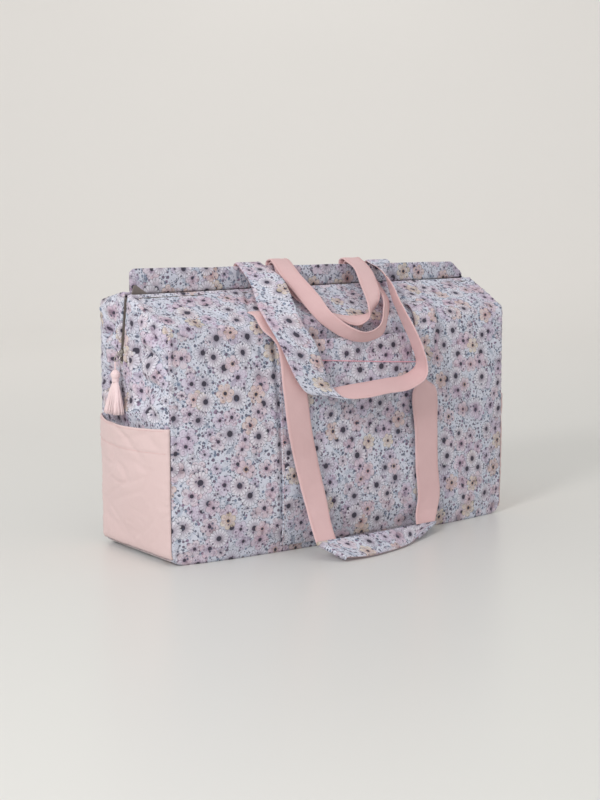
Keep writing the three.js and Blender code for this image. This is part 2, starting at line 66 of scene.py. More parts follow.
def make_camera():
    data = bpy.data.cameras.new("camera")
    data.lens = LENS
    data.sensor_width = 36
    camera = bpy.data.objects.new("camera", data)
    camera.location = CAMERA_PLACE
    camera.rotation_euler = Vector(CAMERA_AIM).to_track_quat("-Z", "Y").to_euler()
    bpy.context.scene.collection.objects.link(camera)
    bpy.context.scene.camera = camera


make_camera()

# ---------------------------------------------------------------- the bag's shape, in millimetres
HALF_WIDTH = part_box("back_panel")[1].x / MM
HALF_DEPTH = 86
BASE_CORNER = 18
FRONT_BULGE = 24
END_BULGE = 9
FRONT_SHOULDER = {"cy": 68, "cz": 288, "r": 18, "zip_y": 3, "zip_z": 338.5}
BACK_SHOULDER = {"cy": 72, "cz": 314, "r": 14, "zip_y": 11.5, "zip_z": 340}
QUILT = 4.2
ZIP_Y = 4
ZIP_TOP_Z = 334
ZIP_END_LENGTH = 84
ZIP_FOOT_Z = ZIP_TOP_Z - ZIP_END_LENGTH
ZIP_LEAN = 0.166
POCKET_HALF_WIDTH = 125
POCKET_TOP_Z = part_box("front_pocket")[1].z / MM
END_POCKET_TOP_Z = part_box("left_end_pocket")[1].z / MM
END_HEM_Z = 144


def stack(*parts):
    """One array of points or places from their parts."""
    return np.stack(np.broadcast_arrays(*parts), axis=-1).astype(float)


def travelled(line):
    """How far along a line of points each of them lies."""
    steps = np.linalg.norm(np.diff(line, axis=0), axis=1)
    return np.concatenate([[0], np.cumsum(steps)])


def clamp01(value):
    return np.clip(value, 0, 1)


def smooth(low, high, value):
    s = clamp01((value - low) / (high - low))
    return s * s * (3 - 2 * s)


def half_width(z):
    rise = np.maximum(0, BASE_CORNER - z)
    return HALF_WIDTH - BASE_CORNER + np.sqrt(np.maximum(0, BASE_CORNER**2 - rise**2))


def bulge_across(t):
    return 1 - t**4


def bulge_up(z):
    roll = 0.5 + 0.5 * np.sin(math.pi / 2 * clamp01(z / 42))
    return roll * (1 - clamp01(z / 305) ** 3)


def end_bulge(depth, z):
    return END_BULGE * np.maximum(0, 1 - (depth / HALF_DEPTH) ** 2) * smooth(0, 110, z)


def side_depth(t, z):
    return HALF_DEPTH + FRONT_BULGE * bulge_across(t) * bulge_up(z)


def shoulder_end(s):
    """Angle, depth and height where a shoulder's arc runs into the straight top."""
    depth, rise = s["zip_y"] - s["cy"], s["zip_z"] - s["cz"]
    angle = math.atan2(rise, depth) - math.acos(s["r"] / math.hypot(depth, rise))
    return angle, s["cy"] + s["r"] * math.cos(angle), s["cz"] + s["r"] * math.sin(angle)


def roof(s, depth):
    """Height of the top over a depth."""
    angle, end_depth, end_z = shoulder_end(s)
    arc = s["cz"] + np.sqrt(np.maximum(0, s["r"] ** 2 - np.clip(depth - s["cy"], 0, s["r"]) ** 2))
    return np.where(depth > end_depth, arc, end_z + (end_depth - depth) / math.tan(angle))


def profile(s, low, spacing):
    """Depths, heights and lengths along a long side's profile, from a low height up to the zip."""
    angle, end_depth, end_z = shoulder_end(s)
    count = max(2, round((s["cz"] - low) / spacing))
    depth = [HALF_DEPTH] * count
    height = list(np.linspace(low, s["cz"], count, endpoint=False))
    turns = np.linspace(0, angle, 9, endpoint=False)
    depth += list(s["cy"] + s["r"] * np.cos(turns))
    height += list(s["cz"] + s["r"] * np.sin(turns))
    count = round((end_depth - s["zip_y"]) / spacing) + 1
    depth += list(np.linspace(end_depth, s["zip_y"], count))
    height += list(np.linspace(end_z, s["zip_z"], count))
    return np.array(depth), np.array(height), low + travelled(stack(depth, height))


def long_side(side, rows, columns):
    """Grid of points on a long side (-1 front, 1 back) for its profile rows and columns from -1 to 1."""
    depth, height = rows[0][:, None], rows[1][:, None]
    t = columns[None, :]
    x = t * (half_width(height) + end_bulge(depth, height))
    y = side * (depth + FRONT_BULGE * bulge_across(t) * bulge_up(height))
    return stack(x, y, height)


def end_point(side, y, s):
    """Points of an end's surface at a depth, s millimetres up its profile from the base."""
    arc = math.pi / 2 * BASE_CORNER
    phi = np.minimum(s, arc) / BASE_CORNER
    z = BASE_CORNER * (1 - np.cos(phi)) + np.maximum(0, s - arc)
    x = HALF_WIDTH - BASE_CORNER * (1 - np.sin(phi)) + end_bulge(y, z)
    return stack(side * x, y, z)


def profile_length(z):
    return z - BASE_CORNER + math.pi / 2 * BASE_CORNER


def zip_line_y(z):
    """Where an end's zip runs at a height."""
    return ZIP_Y + (ZIP_TOP_Z - np.maximum(z, ZIP_TOP_Z - ZIP_END_LENGTH)) * math.tan(ZIP_LEAN)


# ---------------------------------------------------------------- cloth relief
def lattice(ix, iy, seed):
    """A repeatable value from -1 to 1 for each lattice point."""
    h = (ix * 374761393 + iy * 668265263 + seed * 974634777) & 0xFFFFFFFF
    h = ((h ^ (h >> 13)) * 1274126177) & 0xFFFFFFFF
    return ((h ^ (h >> 16)) & 0xFFFF) / 32767.5 - 1


def swells(x, y, seed):
    """Smooth random relief from -1 to 1, one bump to a unit."""
    ix, iy = np.floor(x).astype(np.int64), np.floor(y).astype(np.int64)
    fx, fy = x - ix, y - iy
    fx, fy = fx * fx * (3 - 2 * fx), fy * fy * (3 - 2 * fy)
    low = lattice(ix, iy, seed) * (1 - fx) + lattice(ix + 1, iy, seed) * fx
    high = lattice(ix, iy + 1, seed) * (1 - fx) + lattice(ix + 1, iy + 1, seed) * fx
    return low * (1 - fy) + high * fy


def creases(x, y, seed):
    """Narrow valleys, 0 to -1, along wandering lines."""
    wander = 0.6 * swells(x * 0.7, y * 0.7, seed + 50)
    ridge = np.abs(swells(x + wander, y + wander, seed))
    return -np.clip(1 - ridge / 0.35, 0, 1) ** 1.5


def along(x, y, degrees, long, short):
    """Coordinates stretched along a direction, for creases that run that way."""
    c, s = math.cos(math.radians(degrees)), math.sin(math.radians(degrees))
    return (x * c + y * s) / long, (-x * s + y * c) / short


def puckers(run, distance, seed, pitch=11, reach=9, height=0.8):
    """Gathers beside a seam: run is the way along it and distance the way off it."""
    wave = np.sin(2 * math.pi * run / pitch + 2.5 * swells(run / 37, run * 0, seed))
    return height * wave * np.exp(-distance / reach) * np.tanh(distance / 3)


def rolled_edge(distance, radius):
    """How far cloth turns in towards a seam at its edge."""
    across = clamp01(1 - distance / radius)
    return -radius * (1 - np.sqrt(np.maximum(0, 1 - across**2)))


def normals(points, flip):
    n = np.cross(np.gradient(points, axis=1), np.gradient(points, axis=0))
    n /= np.maximum(np.linalg.norm(n, axis=-1, keepdims=True), 1e-9)
    return -n if flip else n


def raise_cloth(points, amount, flip=False):
    return points + normals(points, flip) * amount[..., None]


# ---------------------------------------------------------------- meshes
def make_object(name, vertices, faces, uvs=None):
    """A smooth-shaded mesh object from millimetres; uvs has one pair for each vertex."""
    mesh = bpy.data.meshes.new(name)
    mesh.from_pydata((np.asarray(vertices) * MM).tolist(), [], [list(map(int, f)) for f in faces])
    if uvs is not None:
        layer = mesh.uv_layers.new(name="cloth")
        loops = np.zeros(len(mesh.loops), np.int32)
        mesh.loops.foreach_get("vertex_index", loops)
        layer.data.foreach_set("uv", (np.asarray(uvs)[loops] * MM).astype(np.float32).ravel())
    mesh.polygons.foreach_set("use_smooth", [True] * len(mesh.polygons))
    mesh.update()
    obj = bpy.data.objects.new(name, mesh)
    bpy.context.scene.collection.objects.link(obj)
    return obj


def grid_faces(rows, columns, flip, keep=None):
    faces = []
    for j in range(rows - 1):
        for i in range(columns - 1):
            if keep is None or keep[j, i]:
                a = j * columns + i
                quad = (a, a + 1, a + columns + 1, a + columns)
                faces.append(quad[::-1] if flip else quad)
    return faces


def cloth(name, points, uvs, thickness, flip=False, keep=None):
    """Cloth of a thickness behind a grid of points, with closed edges."""
    rows, columns = points.shape[:2]
    obj = make_object(name, points.reshape(-1, 3), grid_faces(rows, columns, flip, keep), uvs.reshape(-1, 2))
    solid = obj.modifiers.new("thickness", "SOLIDIFY")
    solid.thickness = thickness * MM
    solid.offset = -1
    bake_modifiers(obj)
    return obj


def bake_modifiers(obj):
    """Writes an object's modifiers into its mesh."""
    depsgraph = bpy.context.evaluated_depsgraph_get()
    mesh = bpy.data.meshes.new_from_object(obj.evaluated_get(depsgraph), depsgraph=depsgraph)
    obj.modifiers.clear()
    old = obj.data
    obj.data = mesh
    bpy.data.meshes.remove(old)


def finish_piece(obj, body, material, *nodes, slot=None):
    """Gives a piece its material, the CAD nodes it stands for and the body it rides on; its slot argument is
    not used.
    """
    obj.data.materials.append(material)
    if nodes:
        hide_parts(*nodes)
    if body:
        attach(obj, body)
    return obj


def ring_faces(rings, sides, closed=False):
    """Faces between rings of points, with a cap at each end unless the rings close on themselves."""
    faces = []
    for j in range(rings if closed else rings - 1):
        near, far = j * sides, (j + 1) % rings * sides
        for i in range(sides):
            k = (i + 1) % sides
            faces.append((near + i, near + k, far + k, far + i))
    if not closed:
        faces += [tuple(range(sides))[::-1], tuple(range((rings - 1) * sides, rings * sides))]
    return faces


def flipped(faces):
    return [face[::-1] for face in faces]


def tube(path, radius, sides=6, guide=None):
    """Vertices and faces of a closed tube along a path; radius may change along it.

    The guide is a direction that the path never runs along.
    """
    path = np.asarray(path, float)
    radius = np.broadcast_to(radius, len(path))
    tangent = np.gradient(path, axis=0)
    tangent /= np.linalg.norm(tangent, axis=1, keepdims=True)
    if guide is None:
        guide = (0, 0, 1) if abs(tangent[0][2]) < 0.8 else (1, 0, 0)
    side = np.cross(tangent, guide)
    side /= np.linalg.norm(side, axis=1, keepdims=True)
    up = np.cross(side, tangent)
    turns = np.arange(sides) / sides * 2 * math.pi
    ring = side[:, None] * np.cos(turns)[None, :, None] + up[:, None] * np.sin(turns)[None, :, None]
    vertices = (path[:, None] + ring * radius[:, None, None]).reshape(-1, 3)
    return vertices, ring_faces(len(path), sides)


def merged(parts):
    """One list of vertices and faces from several."""
    vertices, faces, start = [], [], 0
    for part_vertices, part_faces in parts:
        vertices.append(np.asarray(part_vertices))
        faces += [tuple(start + i for i in face) for face in part_faces]
        start += len(part_vertices)
    return np.concatenate(vertices), faces


STITCH_RUN = np.array([0, 0.15, 0.5, 0.85, 1])
STITCH_LIFT = np.array([-0.6, 0.4, 0.8, 0.4, -0.6])
STITCH_GIRTH = np.array([0.5, 0.9, 1, 0.9, 0.5])


def stitches(name, line, normal, body, material, slot, pitch, length, radius):
    """A row of raised stitches along a line of points, each lying on the cloth whose normals are given."""
    way = travelled(line)
    parts = []
    for start in np.arange(pitch / 2, way[-1] - pitch, pitch):
        at = start + length * STITCH_RUN
        point, out = (stack(*(np.interp(at, way, grid[:, k]) for k in range(3))) for grid in (line, normal))
        parts.append(tube(point + out * radius * STITCH_LIFT[:, None], radius * STITCH_GIRTH, 5))
    finish_piece(make_object(name, *merged(parts)), body, material, slot=slot)


# ---------------------------------------------------------------- materials
def srgb(red, green, blue):
    """A colour from its 0 to 255 screen values."""
    def linear(value):
        value /= 255
        return value / 12.92 if value <= 0.04045 else ((value + 0.055) / 1.055) ** 2.4
    return (linear(red), linear(green), linear(blue), 1)


class Painter:
    """Builds one material's nodes."""

    def __init__(self, name, roughness, metallic=0.0, sheen=0.0):
        self.material = bpy.data.materials.new(name)
        self.material.use_nodes = True
        self.tree = self.material.node_tree
        self.tree.nodes.clear()
        self.output = self.add("ShaderNodeOutputMaterial")
        self.shader = self.add("ShaderNodeBsdfPrincipled")
        self.shader.inputs["Metallic"].default_value = metallic
        self.shader.inputs["Sheen Weight"].default_value = sheen
        self.shader.inputs["Sheen Roughness"].default_value = 0.5
        self.shader.inputs["Roughness"].default_value = roughness
        self.tree.links.new(self.shader.outputs[0], self.output.inputs[0])

    def add(self, kind, **settings):
        node = self.tree.nodes.new(kind)
        for key, value in settings.items():
            setattr(node, key, value)
        return node

    def put(self, socket, value):
        if isinstance(value, bpy.types.NodeSocket):
            self.tree.links.new(value, socket)
        else:
            socket.default_value = value

    def math(self, operation, *values, clamp=False):
        node = self.add("ShaderNodeMath", operation=operation, use_clamp=clamp)
        for socket, value in zip(node.inputs, values):
            self.put(socket, value)
        return node.outputs[0]

    def times(self, product, *factors):
        for factor in factors:
            product = self.math("MULTIPLY", product, factor)
        return product

    def plus(self, a, b):
        return self.math("ADD", a, b)

    def minus(self, a, b):
        return self.math("SUBTRACT", a, b)

    def scaled(self, value, factor, shift):
        return self.math("MULTIPLY_ADD", value, factor, shift)

    def vector(self, operation, *values):
        node = self.add("ShaderNodeVectorMath", operation=operation)
        for socket, value in zip(node.inputs, values):
            self.put(socket, value)
        return node.outputs["Value" if operation == "LENGTH" else "Vector"]

    def split(self, value):
        node = self.add("ShaderNodeSeparateXYZ")
        self.put(node.inputs[0], value)
        return node.outputs

    def mix(self, share, below, above):
        node = self.add("ShaderNodeMix", data_type="RGBA")
        colours = [s for s in node.inputs if s.type == "RGBA"]
        self.put(node.inputs[0], share)
        self.put(colours[0], below)
        self.put(colours[1], above)
        return next(s for s in node.outputs if s.type == "RGBA")

    def within(self, value, soft):
        """1 where a distance is above 0, with a soft edge."""
        return self.math("DIVIDE", value, soft, clamp=True)

    def near(self, value, width):
        """1 where a distance is close to 0."""
        far = self.math("DIVIDE", self.math("ABSOLUTE", value), width)
        return self.math("SUBTRACT", 1.0, far, clamp=True)

    def noise(self, at, scale, detail=2.0, distortion=0.0):
        node = self.add("ShaderNodeTexNoise")
        self.put(node.inputs["Vector"], at)
        node.inputs["Scale"].default_value = scale
        node.inputs["Detail"].default_value = detail
        node.inputs["Distortion"].default_value = distortion
        return node.outputs[0]

    def choose(self, value, colours):
        """One of several colours for a value from 0 to 1."""
        node = self.add("ShaderNodeValToRGB")
        ramp = node.color_ramp
        ramp.interpolation = "CONSTANT"
        for i, colour in enumerate(colours):
            stop = ramp.elements[0] if i == 0 else ramp.elements.new(i / len(colours))
            stop.color = colour
        ramp.elements.remove(ramp.elements[-1])
        self.put(node.inputs[0], value)
        return node.outputs[0]

    def cloth_place(self):
        """Place on the cloth, in millimetres."""
        uv = self.add("ShaderNodeUVMap", uv_map="cloth").outputs[0]
        return self.vector("MULTIPLY", uv, (1000.0, 1000.0, 0.0))

    def solid_place(self):
        """Place in the object, in millimetres."""
        place = self.add("ShaderNodeTexCoord").outputs["Object"]
        return self.vector("MULTIPLY", place, (1000.0, 1000.0, 1000.0))

    def threads(self, at, pitch):
        """Height of a plain weave."""
        x, y, _ = self.split(at)
        warp, weft = (self.math("SINE", self.times(way, 2 * math.pi / pitch)) for way in (x, y))
        return self.times(warp, weft)

    def bump(self, height, distance, strength=1.0, below=None):
        node = self.add("ShaderNodeBump")
        node.inputs["Distance"].default_value = distance * MM
        node.inputs["Strength"].default_value = strength
        self.put(node.inputs["Height"], height)
        if below is not None:
            self.put(node.inputs["Normal"], below)
        return node.outputs[0]

    def finish(self, colour, normal=None, roughness=None):
        self.put(self.shader.inputs["Base Color"], colour)
        if normal is not None:
            self.put(self.shader.inputs["Normal"], normal)
        if roughness is not None:
            self.put(self.shader.inputs["Roughness"], roughness)
        return self.material


INK = srgb(74, 72, 90)
GROUND = srgb(213, 214, 226)


class Layer:
    """One scattered layer of the print: cells of a size, each with a motif at a random place and turn."""

    def __init__(self, painter, at, cell, scatter, seed):
        cells = painter.vector("MULTIPLY", at, (1 / cell, 1 / cell, 0))
        shifted = painter.vector("ADD", cells, (seed * 7.31, seed * 3.17, 0.0))
        node = painter.add("ShaderNodeTexVoronoi", voronoi_dimensions="2D", feature="F1")
        painter.put(node.inputs["Vector"], shifted)
        node.inputs["Scale"].default_value = 1
        node.inputs["Randomness"].default_value = scatter
        away = painter.vector("SUBTRACT", shifted, node.outputs["Position"])
        away = painter.vector("MULTIPLY", away, (cell, cell, 0.0))
        self.x, self.y, _ = painter.split(away)
        self.r = painter.vector("LENGTH", away)
        self.random = painter.split(node.outputs["Color"])
        self.painter = painter

    def kept(self, share):
        """1 in the share of cells that have a motif."""
        return self.painter.math("LESS_THAN", self.random[2], share)


def paint_flowers(p, below, at, cell, scatter, seed, share, radius, petals, colours, heart_colour,
                  fill=0.6, notch=0.5, line=0.6, heart_size=0.2):
    """A layer of outlined flowers with translucent petals and a dark heart over the colour below."""
    layer = Layer(p, at, cell, scatter, seed)
    turn = p.times(layer.random[0], 6.283)
    angle = p.plus(p.math("ARCTAN2", layer.y, layer.x), turn)
    half = p.times(angle, petals / 2)
    lobe = p.math("ABSOLUTE", p.math("COSINE", half))
    round_lobe = p.math("POWER", lobe, 0.4)
    size = p.scaled(layer.random[1], 0.3 * radius, 0.75 * radius)
    edge = p.times(size, p.scaled(round_lobe, notch, 1 - notch))
    keep = layer.kept(share)
    gap = p.minus(edge, layer.r)
    petal_area = p.within(gap, 0.4)
    inside = p.times(petal_area, keep)
    colour = p.choose(p.math("FRACT", p.times(layer.random[0], 7.7)), colours)
    depth = p.math("DIVIDE", layer.r, size, clamp=True)
    wash = p.scaled(p.noise(at, 1 / 5, 1.0), 0.5, 0.55)
    petal = p.mix(p.scaled(depth, -0.75, 0.75), colour, srgb(176, 146, 168))
    out = p.mix(p.times(inside, wash, fill), below, petal)
    rim = p.near(p.minus(gap, 0.3), 0.6)
    out = p.mix(p.times(rim, keep, line), out, INK)
    side = p.math("ABSOLUTE", p.math("SINE", half))
    vein = p.near(p.times(side, layer.r, 2 / petals), 0.3)
    reach = p.within(p.minus(p.times(edge, 0.6), layer.r), 0.8)
    fork = p.times(lobe, layer.r, 2 / petals)
    ribs = p.math("MAXIMUM", p.times(vein, reach), p.times(p.near(fork, 0.42), petal_area))
    out = p.mix(p.times(ribs, keep, line * 0.8), out, INK)
    glow = p.within(p.minus(p.times(size, 0.4), layer.r), 3.0)
    out = p.mix(p.times(glow, keep, 0.5), out, heart_colour)
    rough_edge = p.scaled(p.noise(at, 1.4, 1.0), 0.9, -0.45)
    heart = p.plus(p.minus(p.times(size, heart_size), layer.r), rough_edge)
    return p.mix(p.times(p.within(heart, 0.4), keep), out, srgb(62, 58, 72))


def paint_dots(p, below, at, cell, seed, share, radius, colours, strength=0.85):
    """A layer of berries or dots, gathered in loose groups."""
    layer = Layer(p, at, cell, 0.85, seed)
    group = p.noise(at, 1 / 19 + seed * 0.002, 1.0)
    keep = layer.kept(p.scaled(group, 2.0, share - 1.0))
    size = p.scaled(layer.random[1], 0.5 * radius, 0.7 * radius)
    inside = p.times(p.within(p.minus(size, layer.r), 0.35), keep)
    return p.mix(p.times(inside, strength), below, p.choose(layer.random[0], colours))


def paint_leaves(p, below, at, cell, seed, share, length, width, colours, strength):
    """A layer of pointed leaves."""
    layer = Layer(p, at, cell, 0.8, seed)
    turn = p.times(layer.random[0], 6.283)
    c, s = p.math("COSINE", turn), p.math("SINE", turn)
    run = p.plus(p.times(layer.x, c), p.times(layer.y, s))
    across = p.minus(p.times(layer.y, c), p.times(layer.x, s))
    taper = p.math("POWER", p.math("DIVIDE", run, length), 2.0)
    edge = p.times(p.minus(1.0, taper), width)
    gap = p.minus(edge, p.math("ABSOLUTE", across))
    keep = layer.kept(share)
    inside = p.times(p.within(gap, 0.4), keep)
    out = p.mix(p.times(inside, strength), below, p.choose(layer.random[1], colours))
    rib = p.times(p.near(across, 0.28), inside, 0.5)
    return p.mix(rib, out, INK)


def print_cotton():
    p = Painter("floral_print_cotton", 0.88, sheen=0.05)
    at = p.cloth_place()
    lilac, pink, blush = srgb(212, 196, 218), srgb(222, 194, 208), srgb(226, 204, 210)
    peach, butter, white = srgb(228, 200, 184), srgb(228, 212, 182), srgb(232, 232, 240)
    slate, steel, mist = srgb(74, 80, 102), srgb(104, 118, 142), srgb(160, 174, 194)
    mauve, plum = srgb(126, 100, 128), srgb(88, 70, 94)
    gold, rust, grey = srgb(188, 152, 100), srgb(184, 126, 110), srgb(120, 118, 134)
    wash = p.noise(at, 1 / 26, 2.0, 0.6)
    out = p.mix(p.times(wash, 0.6), GROUND, srgb(196, 202, 218))
    out = paint_leaves(p, out, at, 17, 1, 0.8, 8.0, 3.0, [mist, srgb(180, 188, 206), steel], 0.5)
    out = paint_leaves(p, out, at, 12, 2, 0.7, 5.0, 1.3, [steel, slate, mist], 0.5)
    squiggle = p.near(p.minus(p.noise(at, 1 / 9.0, 1.0, 1.2), 0.5), 0.022)
    out = p.mix(p.times(squiggle, 0.45), out, INK)
    out = paint_dots(p, out, at, 4.4, 3, 0.5, 1.15, [slate, steel, slate, INK])
    out = paint_dots(p, out, at, 6.6, 4, 0.5, 2.1, [mauve, plum, slate, steel])
    out = paint_flowers(p, out, at, 21, 0.75, 5, 0.5, 8.5, 7, [blush, lilac, white], grey)
    out = paint_flowers(p, out, at, 33, 0.62, 9, 0.7, 14.5, 5, [lilac, pink, lilac, blush], mauve)
    daisy = {"notch": 0.3, "line": 0.85, "heart_size": 0.27}
    out = paint_flowers(p, out, at, 39, 0.7, 8, 0.75, 15.5, 17, [white, GROUND], grey, 0.8, **daisy)
    out = paint_flowers(p, out, at, 35, 0.62, 6, 0.5, 14.0, 5, [pink, lilac, blush, pink], mauve, notch=0.56)
    out = paint_flowers(p, out, at, 50, 0.6, 7, 0.6, 13.5, 6, [peach, butter, blush, butter], gold, fill=0.75)
    out = paint_flowers(p, out, at, 61, 0.6, 10, 0.4, 12.5, 5, [blush, peach], rust, fill=0.75)
    out = paint_flowers(p, out, at, 58, 0.7, 11, 0.6, 14.5, 17, [white], grey, 0.85, **daisy)
    out = paint_dots(p, out, at, 6.2, 9, 0.3, 1.5, [slate, plum])
    weave = p.bump(p.threads(at, 0.5), 0.05, 0.5)
    crumple = p.bump(p.noise(at, 1 / 14, 3.0, 0.4), 0.9, 0.6, weave)
    return p.finish(out, crumple)


def plain_cotton(name, colour, shade, crumple_height=0.8):
    p = Painter(name, 0.82, sheen=0.15)
    at = p.cloth_place()
    out = p.mix(p.times(p.noise(at, 1 / 34, 2.0), 0.55), colour, shade)
    flecks = p.times(p.plus(p.threads(at, 0.62), 1.0), 0.5)
    out = p.mix(p.times(flecks, 0.16), out, shade)
    streak = p.noise(p.vector("MULTIPLY", at, (1.0, 0.06, 1.0)), 0.9, 1.0)
    out = p.mix(p.times(streak, 0.1), out, srgb(250, 236, 232))
    weave = p.bump(p.threads(at, 0.62), 0.06, 0.6)
    crumple = p.bump(p.noise(at, 1 / 16, 3.0, 0.5), crumple_height, 0.45, weave)
    return p.finish(out, crumple)


def tape_cloth():
    p = Painter("zip_tape_cloth", 0.8)
    at = p.solid_place()
    x, y, z = p.split(at)
    zigzag = p.math("PINGPONG", p.plus(y, z), 1.6)
    rib = p.math("SINE", p.times(p.plus(p.plus(x, z), zigzag), 5.2))
    out = p.mix(p.scaled(rib, 0.25, 0.4), srgb(150, 140, 136), srgb(112, 102, 98))
    return p.finish(out, p.bump(rib, 0.12, 0.7))


def moulded_coil():
    p = Painter("zip_coil", 0.42)
    at = p.solid_place()
    out = p.mix(p.noise(at, 0.4, 2.0), srgb(96, 86, 82), srgb(122, 112, 106))
    return p.finish(out, p.bump(p.noise(at, 3.0, 2.0), 0.05, 0.4))


def plated_metal():
    p = Painter("zip_plated_metal", 0.3, metallic=1.0)
    at = p.solid_place()
    out = p.mix(p.noise(at, 0.7, 3.0), srgb(178, 172, 166), srgb(204, 199, 194))
    rough = p.scaled(p.noise(at, 2.2, 3.0), 0.25, 0.18)
    return p.finish(out, p.bump(p.noise(at, 4.0, 2.0), 0.03, 0.3), rough)


def cotton_thread(name, light, dark):
    p = Painter(name, 0.78, sheen=0.2)
    at = p.solid_place()
    out = p.mix(p.noise(at, 0.25, 2.0), light, dark)
    twist = p.math("SINE", p.times(p.plus(p.split(at)[2], p.split(at)[1]), 7.0))
    return p.finish(out, p.bump(twist, 0.12, 0.6))


def stage_paper():
    p = Painter("stage_paper", 0.32)
    at = p.solid_place()
    # Painted light: the paper is coloured lighter towards the backdrop, to make up for the weaker light that
    # reaches it.
    far = p.math("DIVIDE", p.minus(p.split(at)[1], 200.0), 1800.0, clamp=True)
    paper = p.mix(far, srgb(221, 221, 218), srgb(240, 237, 233))
    out = p.mix(p.times(p.noise(at, 0.004, 2.0), 0.1), paper, srgb(228, 226, 222))
    return p.finish(out)


PRINT = print_cotton()
PINK = plain_cotton("pink_cotton", srgb(221, 185, 186), srgb(210, 170, 171))
# Painted light: a lighter, paler copy of the strap pink for the end pockets, standing in for the stronger
# light and sheen on them; the cloth is the same as the straps'.
POCKET_PINK_PAINTED_LIGHTER = plain_cotton("pocket_cotton_painted_lighter", srgb(223, 198, 197), srgb(214, 187, 186))
LINING = plain_cotton("lining_cotton", srgb(233, 221, 219), srgb(220, 206, 205), 1.1)
TAPE = tape_cloth()
COIL = moulded_coil()
METAL = plated_metal()
THREAD = cotton_thread("tassel_thread", srgb(250, 231, 232), srgb(242, 214, 216))
STITCH = cotton_thread("pink_stitch_thread", srgb(232, 190, 188), srgb(220, 174, 173))
HEM_STITCH = cotton_thread("hem_stitch_thread", srgb(240, 180, 194), srgb(232, 166, 182))
WHITE_STITCH = cotton_thread("white_stitch_thread", srgb(214, 208, 220), srgb(196, 188, 204))
SLOTS = {
    PRINT: "print_cotton",
    PINK: "pink_cotton",
    POCKET_PINK_PAINTED_LIGHTER: "pink_cotton",
    LINING: "lining_cotton",
    TAPE: "zip_tape",
    COIL: "zip_teeth",
    METAL: "zip_metal",
    THREAD: "tassel_thread",
}

# ---------------------------------------------------------------- quilted shell
SEAM = 3.5
FINE = 1


def columns(count):
    """Columns from -1 to 1, closer together near the two side seams."""
    t = np.linspace(-1, 1, count)
    return t * (1 + 0.06 * (1 - t**2))


def shell_relief(x, s, seed):
    """Soft relief of a quilted wall, mostly inward of its CAD surface."""
    relief = 1.7 * swells(x / 105, s / 90, seed) + 0.8 * swells(x / 42, s / 38, seed + 1)
    relief += 0.9 * creases(*along(x, s, 62, 60, 21), seed + 2)
    relief += 0.35 * swells(x / 15, s / 15, seed + 3)
    return relief - 1.6


def front_relief(x, s, z):
    relief = shell_relief(x, s, 11)
    upper_left = smooth(-40, -120, x) * smooth(150, 230, z) * smooth(345, 300, z)
    relief += upper_left * 3.0 * creases(*along(x, s, -52, 120, 26), 21)
    upper_right = smooth(120, 190, x) * smooth(190, 260, z)
    relief += upper_right * 1.6 * creases(*along(x, s, 48, 90, 26), 31)
    relief += 1.8 * creases(*along(x, s, 4, 130, 22), 41) * smooth(62, 26, z)
    seam_x = POCKET_HALF_WIDTH + 13 * smooth(278, 314, z) - 25 * smooth(312, 338, z)
    off = np.abs(np.abs(x) - seam_x)
    seam = smooth(20, 60, z)
    relief += seam * (1.6 * np.exp(-((off / 16) ** 2)) - 4.4 * np.exp(-((off / 3.6) ** 2)))
    relief += puckers(s, off, 51, 12, 10, 0.9)
    return np.maximum(relief, -5)


def long_wall(side, shoulder, spacing, count):
    """A long side's grid, with the way up its profile and the distances from its zip edge and side seams."""
    depth, height, way = profile(shoulder, 0.0, spacing * FINE)
    points = long_side(side, (depth, height), columns(count // FINE))
    x, z = points[..., 0], points[..., 2]
    s = np.broadcast_to(way[:, None], x.shape)
    to_seam = half_width(z) + end_bulge(depth[:, None], z) - np.abs(x)
    return points, s, way[-1] - s, np.maximum(0, to_seam)


def edges(relief, x, s, from_zip, from_seam):
    """Turns the cloth in at its side seams and its zip edge, with gathers beside them."""
    relief = relief * smooth(0, 9, from_seam) * smooth(0, 8, from_zip)
    relief += rolled_edge(from_seam, SEAM) + puckers(s, from_seam, 61, 12, 12, 1.0)
    relief += rolled_edge(from_zip, 2.2) + puckers(x, from_zip, 71, 13, 12, 0.7)
    return relief * smooth(-2, 12, s)


def quilted(obj, body, *nodes):
    """Finishes a quilted panel, which also stands for the wadding behind it."""
    finish_piece(obj, body, PRINT, *nodes)


def bend_at_hinge(obj):
    """Bakes the world transform of a piece that runs from the back wall onto the rear half of the top into
    its mesh.
    """
    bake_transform(obj)


def front_shell():
    points, s, from_zip, from_seam = long_wall(-1, FRONT_SHOULDER, 3.2, 170)
    x, z = points[..., 0], points[..., 2]
    relief = edges(front_relief(x, s, z), x, s, from_zip, from_seam)
    obj = cloth("front_quilt", raise_cloth(points, relief), stack(x, s), QUILT)
    quilted(obj, "bag", "front_panel", "front_wadding")


def back_shell():
    """Back wall and rear half of the top in one piece."""
    points, s, from_zip, from_seam = long_wall(1, BACK_SHOULDER, 4.0, 150)
    x, z = points[..., 0], points[..., 2]
    relief = shell_relief(x, s, 15) + 1.4 * creases(*along(x, s, -20, 120, 30), 25) * smooth(240, 120, z)
    relief = edges(relief, x, s, from_zip, from_seam)
    puff = smooth(195, 262, x) * smooth(0, 8, from_zip) * smooth(84, 40, from_zip) * smooth(0, 3, from_seam)
    points = raise_cloth(points, relief + 11 * puff, flip=True)
    obj = cloth("back_and_top_quilt", points, stack(x, s), QUILT, flip=True)
    quilted(obj, None, "back_panel", "back_wadding", "top_flap_panel", "top_flap_wadding")
    bend_at_hinge(obj)


